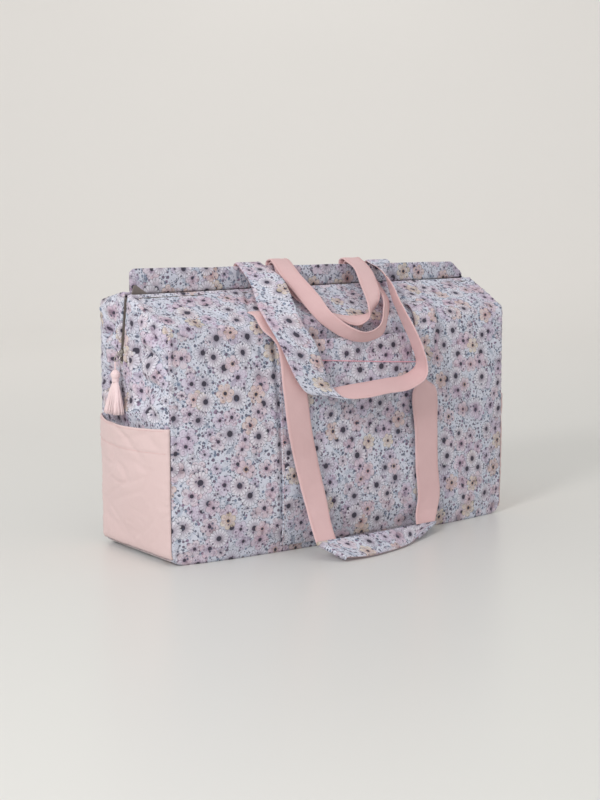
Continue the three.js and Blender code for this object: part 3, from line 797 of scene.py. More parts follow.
def base_shell():
    t, v = np.meshgrid(columns(120 // FINE), np.linspace(-1, 1, 40))
    half_length, half_depth = HALF_WIDTH - BASE_CORNER, side_depth(t, 0) - 5
    x, y = t * half_length, v * half_depth
    edge = np.minimum(half_length - np.abs(x), half_depth - np.abs(y))
    relief = 0.9 + 0.7 * swells(x / 70, y / 60, 17)
    obj = cloth("base_quilt", stack(x, y, relief * smooth(0, 20, edge)), stack(x, y + 40), QUILT, flip=True)
    quilted(obj, "bag", "base_panel", "base_wadding")


def end_grid(side, layer_inset, lip, count):
    """Grid of an end with its zip slot: points, places on the cloth, and which faces are cloth."""
    rows = 110 // FINE
    half = count // 2
    depth_limit = HALF_DEPTH - 1.5 - layer_inset
    arms = np.concatenate([np.linspace(-1, 0, half), np.linspace(0, 1, half)])
    left = np.arange(2 * half) < half
    v = np.linspace(0, 1, rows)[:, None]
    low_y = np.broadcast_to(arms * depth_limit, (rows, 2 * half))
    shoulder_z = np.where(low_y < 0, roof(FRONT_SHOULDER, np.abs(low_y)), roof(BACK_SHOULDER, np.abs(low_y)))
    middle = np.minimum(shoulder_z, roof(FRONT_SHOULDER, np.maximum(np.abs(low_y), 4)))
    top = np.where(np.abs(low_y) < 12, middle, shoulder_z) - 1.5 - layer_inset
    s = v * profile_length(top)
    z = end_point(side, low_y, s)[..., 2]
    centre = zip_line_y(z) * smooth(150, 250, z)
    gap = lip * smooth(ZIP_TOP_Z - ZIP_END_LENGTH - 9, ZIP_TOP_Z - ZIP_END_LENGTH - 1, z)
    inner = centre + np.where(left, -gap, gap)
    outer = np.where(left, -depth_limit, depth_limit)
    y = inner + (outer - inner) * np.abs(arms)
    keep = np.ones((rows - 1, 2 * half - 1), bool)
    keep[:, half - 1] = z[:-1, half - 1] < ZIP_TOP_Z - ZIP_END_LENGTH - 5
    return y, s, z, np.abs(y - inner), keep


def groove(y, z, start, end, width):
    """1 along a straight line on the cloth, fading off to both sides."""
    run = (end[0] - start[0], end[1] - start[1])
    share = clamp01(((y - start[0]) * run[0] + (z - start[1]) * run[1]) / (run[0] ** 2 + run[1] ** 2))
    off = np.hypot(y - start[0] - share * run[0], z - start[1] - share * run[1])
    return np.exp(-off / width)


END_FOLDS = [  # each fold's two ends as depth and height, then its width and depth
    ((-24, 312), (-26, 250), 7, 13),
    ((-26, 270), (-70, 259), 6, 17),
    ((-24, 234), (-68, 221), 6, 18),
    ((-22, 252), (-34, 200), 7, 16),
    ((-28, 210), (-66, 182), 7, 15),
    ((-30, 330), (-72, 306), 7, 12),
    ((-52, 294), (-66, 284), 5, 8),
    ((36, 292), (62, 278), 7, 15),
    ((34, 240), (62, 232), 6, 15),
    ((48, 214), (62, 204), 7, 12),
]


def end_shell(name, side, seed):
    y, s, z, from_zip, keep = end_grid(side, 0, 4.1, 100 // FINE)
    points = end_point(side, y, s)
    above = smooth(168, 205, z)
    relief = 0.6 * swells(y / 30, s / 30, seed) - 1.2
    folds = creases(*along(y, s, -18, 50, 20), seed + 1) + 0.7 * creases(*along(y, s, 38, 44, 17), seed + 2)
    relief += above * (3.0 * folds + 1.8 * swells(y / 24, s / 19, seed + 3) + 10.0)
    relief += above * 0.9 * swells(y / 10, s / 11, seed + 4)
    for start, end, width, depth in END_FOLDS:
        relief -= above * depth * groove(y, z, start, end, width)
    behind_tassel = smooth(-12, -2, y) * smooth(46, 36, y) * smooth(276, 262, z)
    tassel_way = smooth(-28, -18, y) * smooth(40, 30, y) * above
    relief = np.clip(relief, -5.5, 11 - np.maximum(13 * behind_tassel * above, 10 * tassel_way))
    crest = s[-1:] - s
    relief = relief * smooth(0, 14, crest) + rolled_edge(crest, 2.5)
    edge = HALF_DEPTH - 1.5 - np.abs(y)
    relief = relief * smooth(0, 26, edge) * smooth(0, 10, from_zip + 400 * (z < 246))
    relief += rolled_edge(edge, SEAM) + puckers(s, edge, seed + 5, 13, 12, 1.0) * above
    lips = smooth(240, 252, z)
    relief += lips * (rolled_edge(from_zip, 2.4) + puckers(s, from_zip, seed + 6, 12, 9, 0.8))
    relief = np.where(z < 172, np.minimum(relief, -0.3), relief)
    points = raise_cloth(points, relief * smooth(-2, 10, s), flip=side < 0)
    place = stack(300 * side - y * side, s)
    obj = cloth(f"{name}_end_quilt", points, place, QUILT - 0.6, flip=side < 0, keep=keep)
    quilted(obj, "bag", f"{name}_end_panel", f"{name}_end_wadding")


def placket_top(x):
    return 369 - 9 * (x + HALF_WIDTH) / (2 * HALF_WIDTH)


def standing_band():
    """The puffed band behind the zip: a closed ring of points carried along its length."""
    foot, around = 336, 28
    left_end, right_end = 1 - HALF_WIDTH, HALF_WIDTH + 10
    turns = np.linspace(0, 2 * math.pi, around, endpoint=False)
    c, s = np.cos(turns), np.sin(turns)
    rings = []
    for x in np.linspace(left_end, right_end, 220 // FINE):
        top = placket_top(x) - 0.4 + 0.5 * float(swells(np.array(x / 40), np.array(0.0), 81))
        top -= 15 * float(smooth(262, 291, x)) + 2 * float(smooth(-270, -280, x))
        end = clamp01(min(x - left_end, right_end - x) / 5)
        puff = 2.3 * math.sqrt(float(1 - (1 - end) ** 2)) + 0.25
        middle, half = (top + foot) / 2, (top - foot) / 2 - 3 * (1 - end)
        z = middle + half * np.sign(s) * np.abs(s) ** 0.35
        at = np.full(around, x)
        wave = 0.5 * swells(at / 16, z / 14, 82) + 0.5 * swells(at / 55, z / 30, 83)
        stitch_line = 0.8 * np.exp(-(((z - foot - 7) / 1.6) ** 2))
        body = np.abs(c) ** 0.5 * np.sign(c) * (puff - stitch_line)
        y = 9.6 + 7 * float(smooth(240, 290, x)) + body + wave * 0.5
        rings.append(stack(at, y, z))
    vertices = np.concatenate(rings)
    side = np.where(np.tile(c > 0, len(rings)), 90.0, 0.0)
    faces = flipped(ring_faces(len(rings), around))
    obj = make_object("standing_band", vertices, faces, stack(vertices[:, 0], vertices[:, 2] + side + 60))
    finish_piece(obj, "top_flap", PRINT, "zip_placket")


# ---------------------------------------------------------------- linings
def lining_of(name, points, place, flip, nodes, body, inset, keep=None):
    x, y, z = np.moveaxis(points, -1, 0)
    a, b = x + y, z + y * 0.3
    relief = 0.9 * swells(a / 46, b / 40, 91) + 1.2 * creases(*along(a, b, 50, 70, 24), 92) - inset
    obj = cloth(name, raise_cloth(points, relief, flip), place, 0.8, flip=flip, keep=keep)
    return finish_piece(obj, body, LINING, *nodes)


def side_lining(name, side, shoulder, nodes):
    depth, height, s = (row[:-2] for row in profile(shoulder, 5.5, 8.0))
    points = long_side(side, (depth, height), np.linspace(-1, 1, 70) * 0.978)
    place = stack(points[..., 0], s[:, None])
    obj = lining_of(name, points, place, side > 0, nodes, None if side > 0 else "bag", 7.5)
    if side > 0:
        bend_at_hinge(obj)


def end_lining(name, side):
    y, s, _, _, keep = end_grid(side, 5, 13, 50)
    points = end_point(side, y * 0.96, np.maximum(s, 14))
    nodes = (f"{name}_end_lining",)
    obj = lining_of(f"{name}_end_lining_cloth", points, stack(y, s), side < 0, nodes, "bag", 11.5, keep)


def base_lining():
    t, v = np.meshgrid(np.linspace(-1, 1, 60), np.linspace(-1, 1, 30))
    half_length = HALF_WIDTH - BASE_CORNER - 1
    x, y = t * half_length, v * (side_depth(t, 0) - 8)
    points = stack(x, y, 5.9 + 0.8 * swells(x / 50, y / 40, 95))
    obj = cloth("base_lining_cloth", points, stack(x, y), 0.8)
    finish_piece(obj, "bag", LINING, "base_lining")


# ---------------------------------------------------------------- pockets
def pocket_relief(u, s, top, hem, seed):
    """Folds of a pocket's cloth, thicker above its hem line."""
    relief = 0.7 * swells(u / 34, s / 40, seed) + 0.9 * creases(*along(u, s, -24, 60, 22), seed + 1)
    relief += 0.5 * creases(*along(u, s, 30, 70, 18), seed + 2)
    relief += puckers(u, np.abs(s - hem), seed + 3, 10, 6, 0.35)
    relief -= 0.7 * np.exp(-(((s - hem) / 1.3) ** 2))
    return relief + 0.5 * smooth(hem, hem + 1.5, s) * smooth(top, top - 1.5, s)


def row_at(points, outward, heights, wanted):
    """Points and normals where a grid's columns reach their wanted heights."""
    def column(grid, i):
        return [np.interp(wanted[i], heights[:, i], grid[:, i, k]) for k in range(3)]

    inside = range(2, points.shape[1] - 2)
    return [np.array([column(grid, i) for i in inside]) for grid in (points, outward)]


def front_pocket():
    t = np.linspace(-1, 1, 90 // FINE)[None, :]
    z = np.linspace(9, POCKET_TOP_Z, 96 // FINE)[:, None]
    x, z = np.broadcast_arrays(t * POCKET_HALF_WIDTH, z)
    sag = 2.2 * bulge_across(t) * smooth(200, POCKET_TOP_Z, z)
    stand = 15 * bulge_across(t) * smooth(150, POCKET_TOP_Z, z)
    lip = 1.4 * swells(x / 38, z * 0, 101) * smooth(235, POCKET_TOP_Z, z)
    y = -(side_depth(x / HALF_WIDTH, z) + 1.6 + stand + lip * bulge_across(t))
    hem = 244.3 - 0.0875 * x
    relief = pocket_relief(x, z, POCKET_TOP_Z, hem, 103) - 0.4
    side = POCKET_HALF_WIDTH - np.abs(x)
    relief = relief * smooth(0, 8, side) - 1.1 * np.exp(-(((side - 3) / 1.2) ** 2))
    points = raise_cloth(stack(x, y, z - sag), np.minimum(relief, 0.9) * smooth(5, 30, z))
    obj = cloth("front_patch_pocket", points, stack(x + 4, z + 9), 1.3)
    finish_piece(obj, "bag", PRINT, "front_pocket")
    n = normals(points, False)
    row = row_at(points, n, z, hem[0])
    stitches("pocket_hem_stitches", *row, "bag", HEM_STITCH, "pink_cotton", 3.6, 2.9, 0.85)
    for side, i in (("left", 1), ("right", -2)):
        name = f"pocket_{side}_side_stitches"
        stitches(name, points[:, i], n[:, i], "bag", STITCH, "print_cotton", 3.6, 2.2, 0.25)


def end_pocket(name, side, seed):
    top, hem = profile_length(END_POCKET_TOP_Z), profile_length(END_HEM_Z)
    t, s = np.meshgrid(np.linspace(-1, 1, 80 // FINE), np.linspace(19, top, 70 // FINE))
    y = t * (HALF_DEPTH - 0.6)
    edge = HALF_DEPTH - np.abs(y)
    bow = 1 - t * t
    stand = 12 * bow * (s / top) ** 1.5
    relief = 1.7 + stand + pocket_relief(y, s, top, hem, seed)
    relief += 2.2 * creases(*along(y, s, 16, 60, 26), seed + 7) * smooth(0, 30, edge)
    relief += 1.2 * swells(y / 24, s * 0, seed + 8) * smooth(hem, top, s) * bow
    relief += rolled_edge(edge - 0.6, 2.6) + puckers(s, edge, seed + 9, 11, 8, 0.5)
    relief = np.maximum(relief, 1.2 + stand * 0.8 - 2 * smooth(5, 1, edge))
    points = raise_cloth(end_point(side, y, s), relief, flip=side < 0)
    points[..., 2] -= 3.0 * bow * smooth(110, top, s)
    obj = cloth(f"{name}_end_patch_pocket", points, stack(y, s), 1.2, flip=side < 0)
    # The end pockets take the pink that is painted lighter for the light that falls on them.
    finish_piece(obj, "bag", POCKET_PINK_PAINTED_LIGHTER, f"{name}_end_pocket")
    points, n = points[:, 2:-2], normals(points, side < 0)[:, 2:-2]
    for label, height in (("hem", hem), ("edge", top - 2.5)):
        row = int(np.argmin(np.abs(s[:, 0] - height)))
        row_name = f"{name}_pocket_{label}_stitches"
        stitches(row_name, points[row], n[row], "bag", STITCH, "pink_cotton", 3.2, 2.2, 0.28)


# ---------------------------------------------------------------- straps
STRAP_THICKNESS = 1.35
SHORT_STRAP_THICKNESS = 1.2
STITCH_INSET = 3.2
FOLD_HEIGHT = 3.4


def curve_points(controls, count):
    """Points along a centripetal Catmull-Rom curve, as the CAD's curves run."""
    p = np.asarray(controls, float)
    p = np.vstack([2 * p[0] - p[1], p, 2 * p[-1] - p[-2]])
    out = []
    segments = len(p) - 3
    for k in range(count + 1):
        place = k / count * segments
        i = min(int(place), segments - 1)
        w = place - i
        a, b, c, d = p[i:i + 4]
        gaps = [max(np.linalg.norm(v) ** 0.5, 1e-4) for v in (b - a, c - b, d - c)]
        t1 = ((b - a) / gaps[0] - (c - a) / (gaps[0] + gaps[1]) + (c - b) / gaps[1]) * gaps[1]
        t2 = ((c - b) / gaps[1] - (d - b) / (gaps[1] + gaps[2]) + (d - c) / gaps[2]) * gaps[1]
        h = (2 * w**3 - 3 * w**2 + 1, w**3 - 2 * w**2 + w, -2 * w**3 + 3 * w**2, w**3 - w**2)
        out.append(h[0] * b + h[1] * t1 + h[2] * c + h[3] * t2)
    return np.array(out)


def strap_frame(edges, count):
    """Both edges of a strap and its face direction, at even stations along it."""
    e = curve_points([pair[0] for pair in edges], count)
    f = curve_points([pair[1] for pair in edges], count)
    tangent = np.gradient(e + f, axis=0)
    face = np.cross(tangent, f - e)
    return e, f, face / np.linalg.norm(face, axis=1, keepdims=True)


def fold_frame(start, end, away):
    """Stations that turn a strap over a straight fold line, from one layer to the layer beside it."""
    lift = end[0] - start[0]
    radius = np.linalg.norm(lift) / 2
    up = lift / (2 * radius)
    line = start[1] - start[0]
    out = np.cross(up, line / np.linalg.norm(line))
    out /= np.linalg.norm(out)
    out = out * np.sign(out @ np.array(away, float))
    sign = np.sign(up @ start[2])
    a = np.linspace(0, math.pi, 10)[1:-1, None]
    shift = up * radius * (1 - np.cos(a)) + out * radius * np.sin(a)
    return start[0] + shift, start[1] + shift, (up * np.cos(a) - out * np.sin(a)) * sign


def strap_face(name, stations, sign, seed, body, material, nodes, thickness=STRAP_THICKNESS):
    """One face of a strap: a closed band with crowned cloth, soft edges and a sunk line of stitching."""
    e, f, face = stations
    face = sign * face
    s = travelled((e + f) / 2)[:, None]
    u = np.linspace(0, 1, 13)[None, :]
    u = 0.5 - 0.5 * np.cos(math.pi * (0.12 + 0.76 * u)) / math.cos(math.pi * 0.12)
    width = np.linalg.norm(f - e, axis=1)[:, None]
    edge = np.minimum(u, 1 - u) * width
    height = thickness * (0.35 + 0.65 * np.sqrt(clamp01(edge / 1.6)))
    height += 0.3 * swells(s / 19, u * 2.5, seed) + 0.25 * swells(s / 6.5, u * 3, seed + 1)
    height = np.maximum(height - 0.35 * np.exp(-(((edge - STITCH_INSET) / 0.9) ** 2)), 0.3)
    line = e[:, None] * (1 - u[..., None]) + f[:, None] * u[..., None]
    rings = np.concatenate([line + face[:, None] * height[..., None], line[:, ::-1]], axis=1)
    place = stack(u * width + 60 * seed, s)
    place = np.concatenate([place, place[:, ::-1]], axis=1)
    faces = ring_faces(*rings.shape[:2])
    obj = make_object(name, rings.reshape(-1, 3), flipped(faces) if sign < 0 else faces, place.reshape(-1, 2))
    finish_piece(obj, body, material, *nodes)
    thread = STITCH if material is PINK else WHITE_STITCH
    slot = SLOTS[material]
    for k, share in enumerate((STITCH_INSET / width, 1 - STITCH_INSET / width)):
        seam = e * (1 - share) + f * share + face * (thickness * 0.92)
        stitches(f"{name}_stitches_{k}", seam[2:-2], face[2:-2], body, thread, slot, 3.6, 2.4, 0.24)


def over_band(xe, xf, lift=0.0):
    """Edge pairs of a strap that climbs the back of the standing band and turns over its top."""
    top = placket_top((xe + xf) / 2) + lift
    route = [(14.6 + lift, top - 6), (13.6 + lift, top + 1.4), (9.5, top + 3.8), (4, top + 1.6)]
    return [[(xe, y, z), (xf, y, z)] for y, z in route]


def half_twist(start, end, half, steps=6, gather=13.5):
    """Edge pairs of a half twist on a strap that runs up: it gathers, and its faces change places."""
    pairs = []
    for k in range(1, steps):
        angle = math.pi * k / steps
        reach = half - gather * math.sqrt(math.sin(angle))
        x, y, z = (a + (b - a) * k / steps for a, b in zip(start, end))
        across, back = reach * math.cos(angle), reach * math.sin(angle)
        pairs.append([(x + across, y + back, z), (x - across, y - back, z)])
    return pairs


BACK_HANDLE = [
    [(-128, 76.5, 330), (-88, 76.5, 330)],
    [(-124, 48, 337), (-84, 48, 337)],
    [(-121, 24, 348), (-81, 24, 348)],
    *over_band(-117, -77),
    [(-120, -28, 347), (-77, -42, 351)],
    [(-133, -66, 318.5), (-90, -87, 320)],
    [(-141, -93, 304.5), (-90, -104, 298)],
    [(-134, -113, 276), (-85, -125, 273)],
    [(-108, -121.5, 222), (-62, -131, 216)],
    [(-92, -122, 208), (-50, -142, 202)],
    [(-45, -120, 213), (-22, -150, 200)],
    [(30, -120, 218), (14, -151, 203)],
    [(68, -120, 221), (56, -150, 206)],
    [(88, -119.5, 234), (84, -149, 222)],
    [(84, -114, 262), (80, -146, 256)],
    [(80, -97, 292), (73, -130, 290)],
    [(88, -72, 313.5), (74, -104, 317)],
    [(104, -42, 331), (90, -66, 339)],
    [(124, -12, 352), (100, -24, 358)],
    *over_band(142, 104)[::-1],
    [(142, 24, 347), (103, 24, 347)],
    [(138, 48, 337), (98, 48, 337)],
    [(134, 76.5, 330), (94, 76.5, 330)],
]
OUTER_SHORT = [
    *over_band(-62, -32, 3.9),
    [(-64, -18, 354), (-40, -32, 354)],
    [(-58, -50, 326), (-36, -66, 330)],
    [(-52, -92, 295), (-45, -110, 308)],
    [(-30, -113, 276), (-30, -130, 291)],
    [(0, -117, 269), (-8, -134, 284)],
    [(32, -115, 276), (18, -130, 292)],
    [(56, -98, 298), (36, -114, 310)],
    [(79, -72, 315), (60, -82, 323)],
    [(91, -42, 331), (75, -44, 337)],
    [(97, -12, 352), (72, -15, 356)],
    *over_band(97, 67)[::-1],
]
INNER_SHORT = [
    *over_band(-60, -30, 0.7),
    [(-63, -14, 348), (-40, -26, 347.5)],
    [(-56, -46, 322), (-36, -58, 323.5)],
    [(-43, -76, 311), (-32, -97, 305)],
    [(-14, -87, 303), (-16, -109, 293)],
    [(4, -88, 301), (0, -111, 291)],
    [(26, -92, 303), (14, -112, 300)],
    [(44, -90, 314), (20, -102, 312)],
    [(54, -84, 324), (26, -90, 321)],
    [(70, -58, 340), (39, -60, 340)],
    [(85, -25, 357), (54, -27, 359)],
    *over_band(92, 62, 3.6)[::-1],
]
FRONT_LEFT_LEG = [
    [(-150, -66, 311.8), (-110, -66, 311.8)],
    [(-149, -80, 307.5), (-110, -80, 307.5)],
    [(-146, -93.5, 292), (-106, -94, 292)],
    [(-132, -105, 273), (-94, -108.5, 272)],
    [(-127, -112.5, 216), (-90, -113.5, 215)],
    [(-120, -114, 162), (-82, -114, 160)],
    [(-109, -114.5, 114), (-71, -114.5, 112)],
    [(-104, -127, 70), (-68, -127, 68)],
    [(-106, -145, 39), (-73, -145, 38)],
    [(-109, -160, 20.4), (-77, -161, 20)],
]
FRONT_FOOT = [
    [(-109, -162, 23.6), (-85, -193.2, 6.4)],
    [(-62, -163, 23.6), (-50, -193, 3.2)],
    [(-20, -160, 22.5), (-10, -186, 2.6)],
    [(30, -151, 20.5), (32, -173, 2.8)],
    [(80, -140, 18), (55, -161, 4.2)],
    [(118, -129.8, 15.8), (63, -157, 6.4)],
]
FRONT_RIGHT_LEG = [
    [(118, -127.6, 13), (84, -129, 12.4)],
    [(130, -119, 29), (90, -120, 28)],
    [(137, -115.5, 50), (97, -116, 48)],
    [(134, -114.5, 92), (94, -114.5, 92)],
    [(132, -114.5, 140), (92, -114.5, 140)],
    [(128, -114.5, 198), (88, -114.5, 198)],
    *half_twist((107.5, -114.4, 202), (107, -113, 246), 19.5),
    [(88, -112, 248), (127, -110.5, 248)],
    [(95, -108.5, 272), (133, -106, 272)],
    [(106, -94, 292), (146, -93.5, 292)],
    [(110, -80, 307.5), (149, -80, 307.5)],
    [(110, -66, 311.8), (150, -66, 311.8)],
]


def joined(parts):
    return tuple(np.concatenate([part[k] for part in parts]) for k in range(3))


def front_handle_stations():
    """Two legs and a level foot between them, with a flat fold at each end of the foot."""
    foot = strap_frame(FRONT_FOOT, 90 // FINE)
    turned = []
    for at in (0, -1):
        face = -foot[2][at]
        shift = -face * FOLD_HEIGHT
        turned.append((foot[0][at] + shift, foot[1][at] + shift, face))
    first = (foot[0][0], foot[1][0], foot[2][0])
    last = (foot[0][-1], foot[1][-1], foot[2][-1])
    as_row = [tuple(value[None] for value in station) for station in turned]
    return joined([
        strap_frame(FRONT_LEFT_LEG, 130 // FINE),
        as_row[0],
        fold_frame(turned[0], first, (-1, -0.5, -0.3)),
        foot,
        fold_frame(last, turned[1], (1, -0.8, -0.3)),
        as_row[1],
        strap_frame(FRONT_RIGHT_LEG, 160 // FINE),
    ])


def long_handle(name, stations, pink_side, seed):
    body = f"{name}_long_handle"
    pink, floral = f"{name}_long_strap_pink", f"{name}_long_strap_floral"
    strap_face(pink, stations, pink_side, seed, body, PINK, [f"{body}_pink"])
    strap_face(floral, stations, -pink_side, seed + 1, body, PRINT, [f"{body}_print"])


def short_handle(name, edges, seed):
    body = f"{name}_short_handle"
    stations = strap_frame(edges, 170 // FINE)
    strap_face(f"{name}_short_strap_outside", stations, 1, seed, body, PINK, [body], SHORT_STRAP_THICKNESS)
    strap_face(f"{name}_short_strap_inside", stations, -1, seed + 1, body, PINK, [], SHORT_STRAP_THICKNESS)


# ---------------------------------------------------------------- zip
def leaned(points, side):
    """Takes upright points beside an end's zip line to where the zip leans."""
    out = np.array(points, float)
    out[:, 2] -= ZIP_TOP_Z
    c, s = math.cos(ZIP_LEAN), math.sin(ZIP_LEAN)
    y, z = out[:, 1].copy(), out[:, 2].copy()
    out[:, 1], out[:, 2] = y * c - z * s + ZIP_Y, y * s + z * c + ZIP_TOP_Z
    out[:, 0] *= side
    return out


COIL_PITCH = 1.7
TOP_COIL_Z, TOP_TAPE_Z = 333.6, 332.8
END_COIL_X, END_TAPE_X = 286.1, 285.4
OUTER_PLATE_X, INNER_PLATE_X, POST_X = (287.75, 288.95), (283.25, 284.35), (284.0, 288.0)
STOP_X = (285.9, 287.4)


def coil_tooth(wide, high, pitch):
    """One coil of a zip, lying across its tape: a short bar with rounded ends and a raised middle."""
    at = np.array([0, 0.12, 0.5, 0.88, 1.0]) * wide
    lift = np.array([0.1, 0.45, 0.55, 0.5, 0.2]) * high
    return tube(stack(0, at, lift), pitch * 0.36 * np.array([0.6, 0.95, 1, 0.95, 0.7]), 6)


def zip_row(name, body, node, length, place):
    """A row of coils; place takes points of (run, across, up) to the bag."""
    tooth, faces = coil_tooth(2.9, 1.4, COIL_PITCH)
    steps = np.arange(1, length - 1, COIL_PITCH * FINE)
    vertices, faces = merged([(tooth + np.array([run, 0.8, 0]), faces) for run in steps])
    finish_piece(make_object(name, place(vertices), faces), body, COIL, node)


def tape_strip(name, body, node, length, place):
    count = max(8, int(length / 6))
    run, across = np.meshgrid(np.linspace(0, length, count), np.linspace(0.8, 14.5, 6), indexing="ij")
    points = place(stack(run, across, 0.25 * swells(run / 14, across / 9, 111)).reshape(-1, 3))
    obj = cloth(name, points.reshape(count, 6, 3), stack(run, across), 0.6)
    finish_piece(obj, body, TAPE, node)


def zips():
    reach = HALF_WIDTH - 4
    for row, half in (("front", -1), ("rear", 1)):
        def on_top(points, up):
            run, across, rise = points.T
            return stack(run - reach, ZIP_Y + half * across, rise + up)

        def on_end(points, x, side):
            run, across, rise = points.T
            return leaned(stack(x + rise, half * across, ZIP_FOOT_Z + run), side)

        body = "bag" if row == "front" else "top_flap"
        zip_row(f"top_coil_{row}", body, f"top_zip_teeth_{row}", 2 * reach, lambda p: on_top(p, TOP_COIL_Z))
        tape_strip(f"top_tape_{row}", body, f"top_zip_tape_{row}", 2 * reach, lambda p: on_top(p, TOP_TAPE_Z))
        for end, side in (("left", -1), ("right", 1)):
            coil, tape = f"{end}_zip_teeth_{row}", f"{end}_zip_tape_{row}"
            length = ZIP_END_LENGTH - 2
            zip_row(f"{end}_coil_{row}", "bag", coil, length, lambda p: on_end(p, END_COIL_X, side))
            tape_strip(f"{end}_tape_{row}", "bag", tape, length, lambda p: on_end(p, END_TAPE_X, side))


def tape_end():
    """The top zip's tape end, standing folded at the left corner."""
    run, rise = np.meshgrid(np.linspace(0, 1, 16), np.linspace(0, 1, 10))
    x = -281.5 + 26 * run + 3 * rise * (1 - run)
    z = 333.5 + rise * (16 - 15.5 * run**1.3) - 2.0 * rise * smooth(0.15, 0, run)
    y = 1.5 + 1.6 * np.sin(3 * run) - 2.2 * rise
    finish_piece(cloth("zip_tape_end", stack(x, y, z), stack(x, z), 0.7), "bag", TAPE)


def metal_piece(name, body, vertices, faces, side, bevel_width, node):
    """A metal piece on an end's zip line, with bevelled edges."""
    obj = make_object(name, leaned(vertices, side), faces if side > 0 else flipped(faces))
    bevel = obj.modifiers.new("bevel", "BEVEL")
    bevel.width = bevel_width * MM
    bevel.segments = 3
    bevel.limit_method = "ANGLE"
    bake_modifiers(obj)
    finish_piece(obj, body, METAL, node)


def plate(outline, x0, x1):
    """A flat plate with an outline of (y, z) points between two x places."""
    vertices = [(x, y, z) for x in (x0, x1) for y, z in outline]
    return np.array(vertices, float), ring_faces(2, len(outline))


def slider():
    """The slider's two shield-shaped plates, the post between them and the bridge on the outside."""
    low = ZIP_FOOT_Z + 5
    outline = []
    for a in np.linspace(0, 2 * math.pi, 24, endpoint=False):
        half = 4.15 * (1 - 0.11 * (1 - math.sin(a))) * abs(math.cos(a)) ** 0.6
        outline.append((math.copysign(half, math.cos(a)), low + 5 + 4.95 * math.sin(a)))
    post = [(-0.4, low + 3), (0.4, low + 3), (0.4, low + 9), (-0.4, low + 9)]
    bend = np.linspace(0, math.pi, 13)
    bridge = stack(288.6 + 4.1 * np.sin(bend) ** 0.6, 0, low + 5 - 3.6 * np.cos(bend))
    parts = [plate(outline, *OUTER_PLATE_X), plate(outline, *INNER_PLATE_X), plate(post, *POST_X)]
    parts.append(tube(bridge, 0.75, 8, guide=(0, 1, 0)))
    metal_piece("zip_slider_metal", "zip_slider", *merged(parts), -1, 0.25, "zip_slider")


def stops():
    half_outline = [(3.6, -4), (4, -2.6), (3.6, -0.5)]
    outline = [(y, ZIP_FOOT_Z + z) for y, z in half_outline + [(-y, z) for y, z in half_outline[::-1]]]
    for end, side in (("left", -1), ("right", 1)):
        metal_piece(f"{end}_stop_metal", "bag", *plate(outline, *STOP_X), side, 0.3, f"{end}_zip_stop")


# ---------------------------------------------------------------- tassel
TURN = 2 * math.pi
TASSEL_X, TASSEL_Y = -297, 17
CORD_TOP_Z, HEAD_TOP_Z, WRAP_TOP_Z, SKIRT_TOP_Z = 250.3, 240.2, 228.2, 227
SKIRT_LENGTH = 43
CORD_TURNS, HEAD_STRANDS, SKIRT_THREADS = 2.2, 52, 420
RING_TOP = np.array([-290.6, 16.2, 261.2])
RING_FOOT = np.array([TASSEL_X, TASSEL_Y, 251.4])


def pull_ring():
    middle, down = (RING_TOP + RING_FOOT) / 2, (RING_FOOT - RING_TOP) / 2
    radius = np.linalg.norm(down)
    down = down / radius
    across = np.array([0, 1.0, 0]) - down * down[1]
    across /= np.linalg.norm(across)
    turns = np.linspace(0, TURN, 32, endpoint=False)
    outward = np.outer(np.cos(turns), down) + np.outer(np.sin(turns), across)
    normal = np.cross(down, across)
    wire = [middle + radius * outward + 0.7 * (math.cos(a) * outward + math.sin(a) * normal)
            for a in np.linspace(0, TURN, 10, endpoint=False)]
    vertices = np.stack(wire, axis=1).reshape(-1, 3)
    obj = make_object("pull_ring_metal", vertices, ring_faces(32, 10, closed=True))
    finish_piece(obj, "tassel", METAL, "zip_pull_ring")


def round_tassel(angle, radius_x, radius_y, z, girth, sides):
    """A tube that runs round the tassel's axis."""
    path = stack(TASSEL_X + radius_x * np.cos(angle), TASSEL_Y + radius_y * np.sin(angle), z)
    return tube(path, girth, sides)


def thread_piece(name, parts, *nodes):
    finish_piece(make_object(name, *merged(parts)), "tassel", THREAD, *nodes)


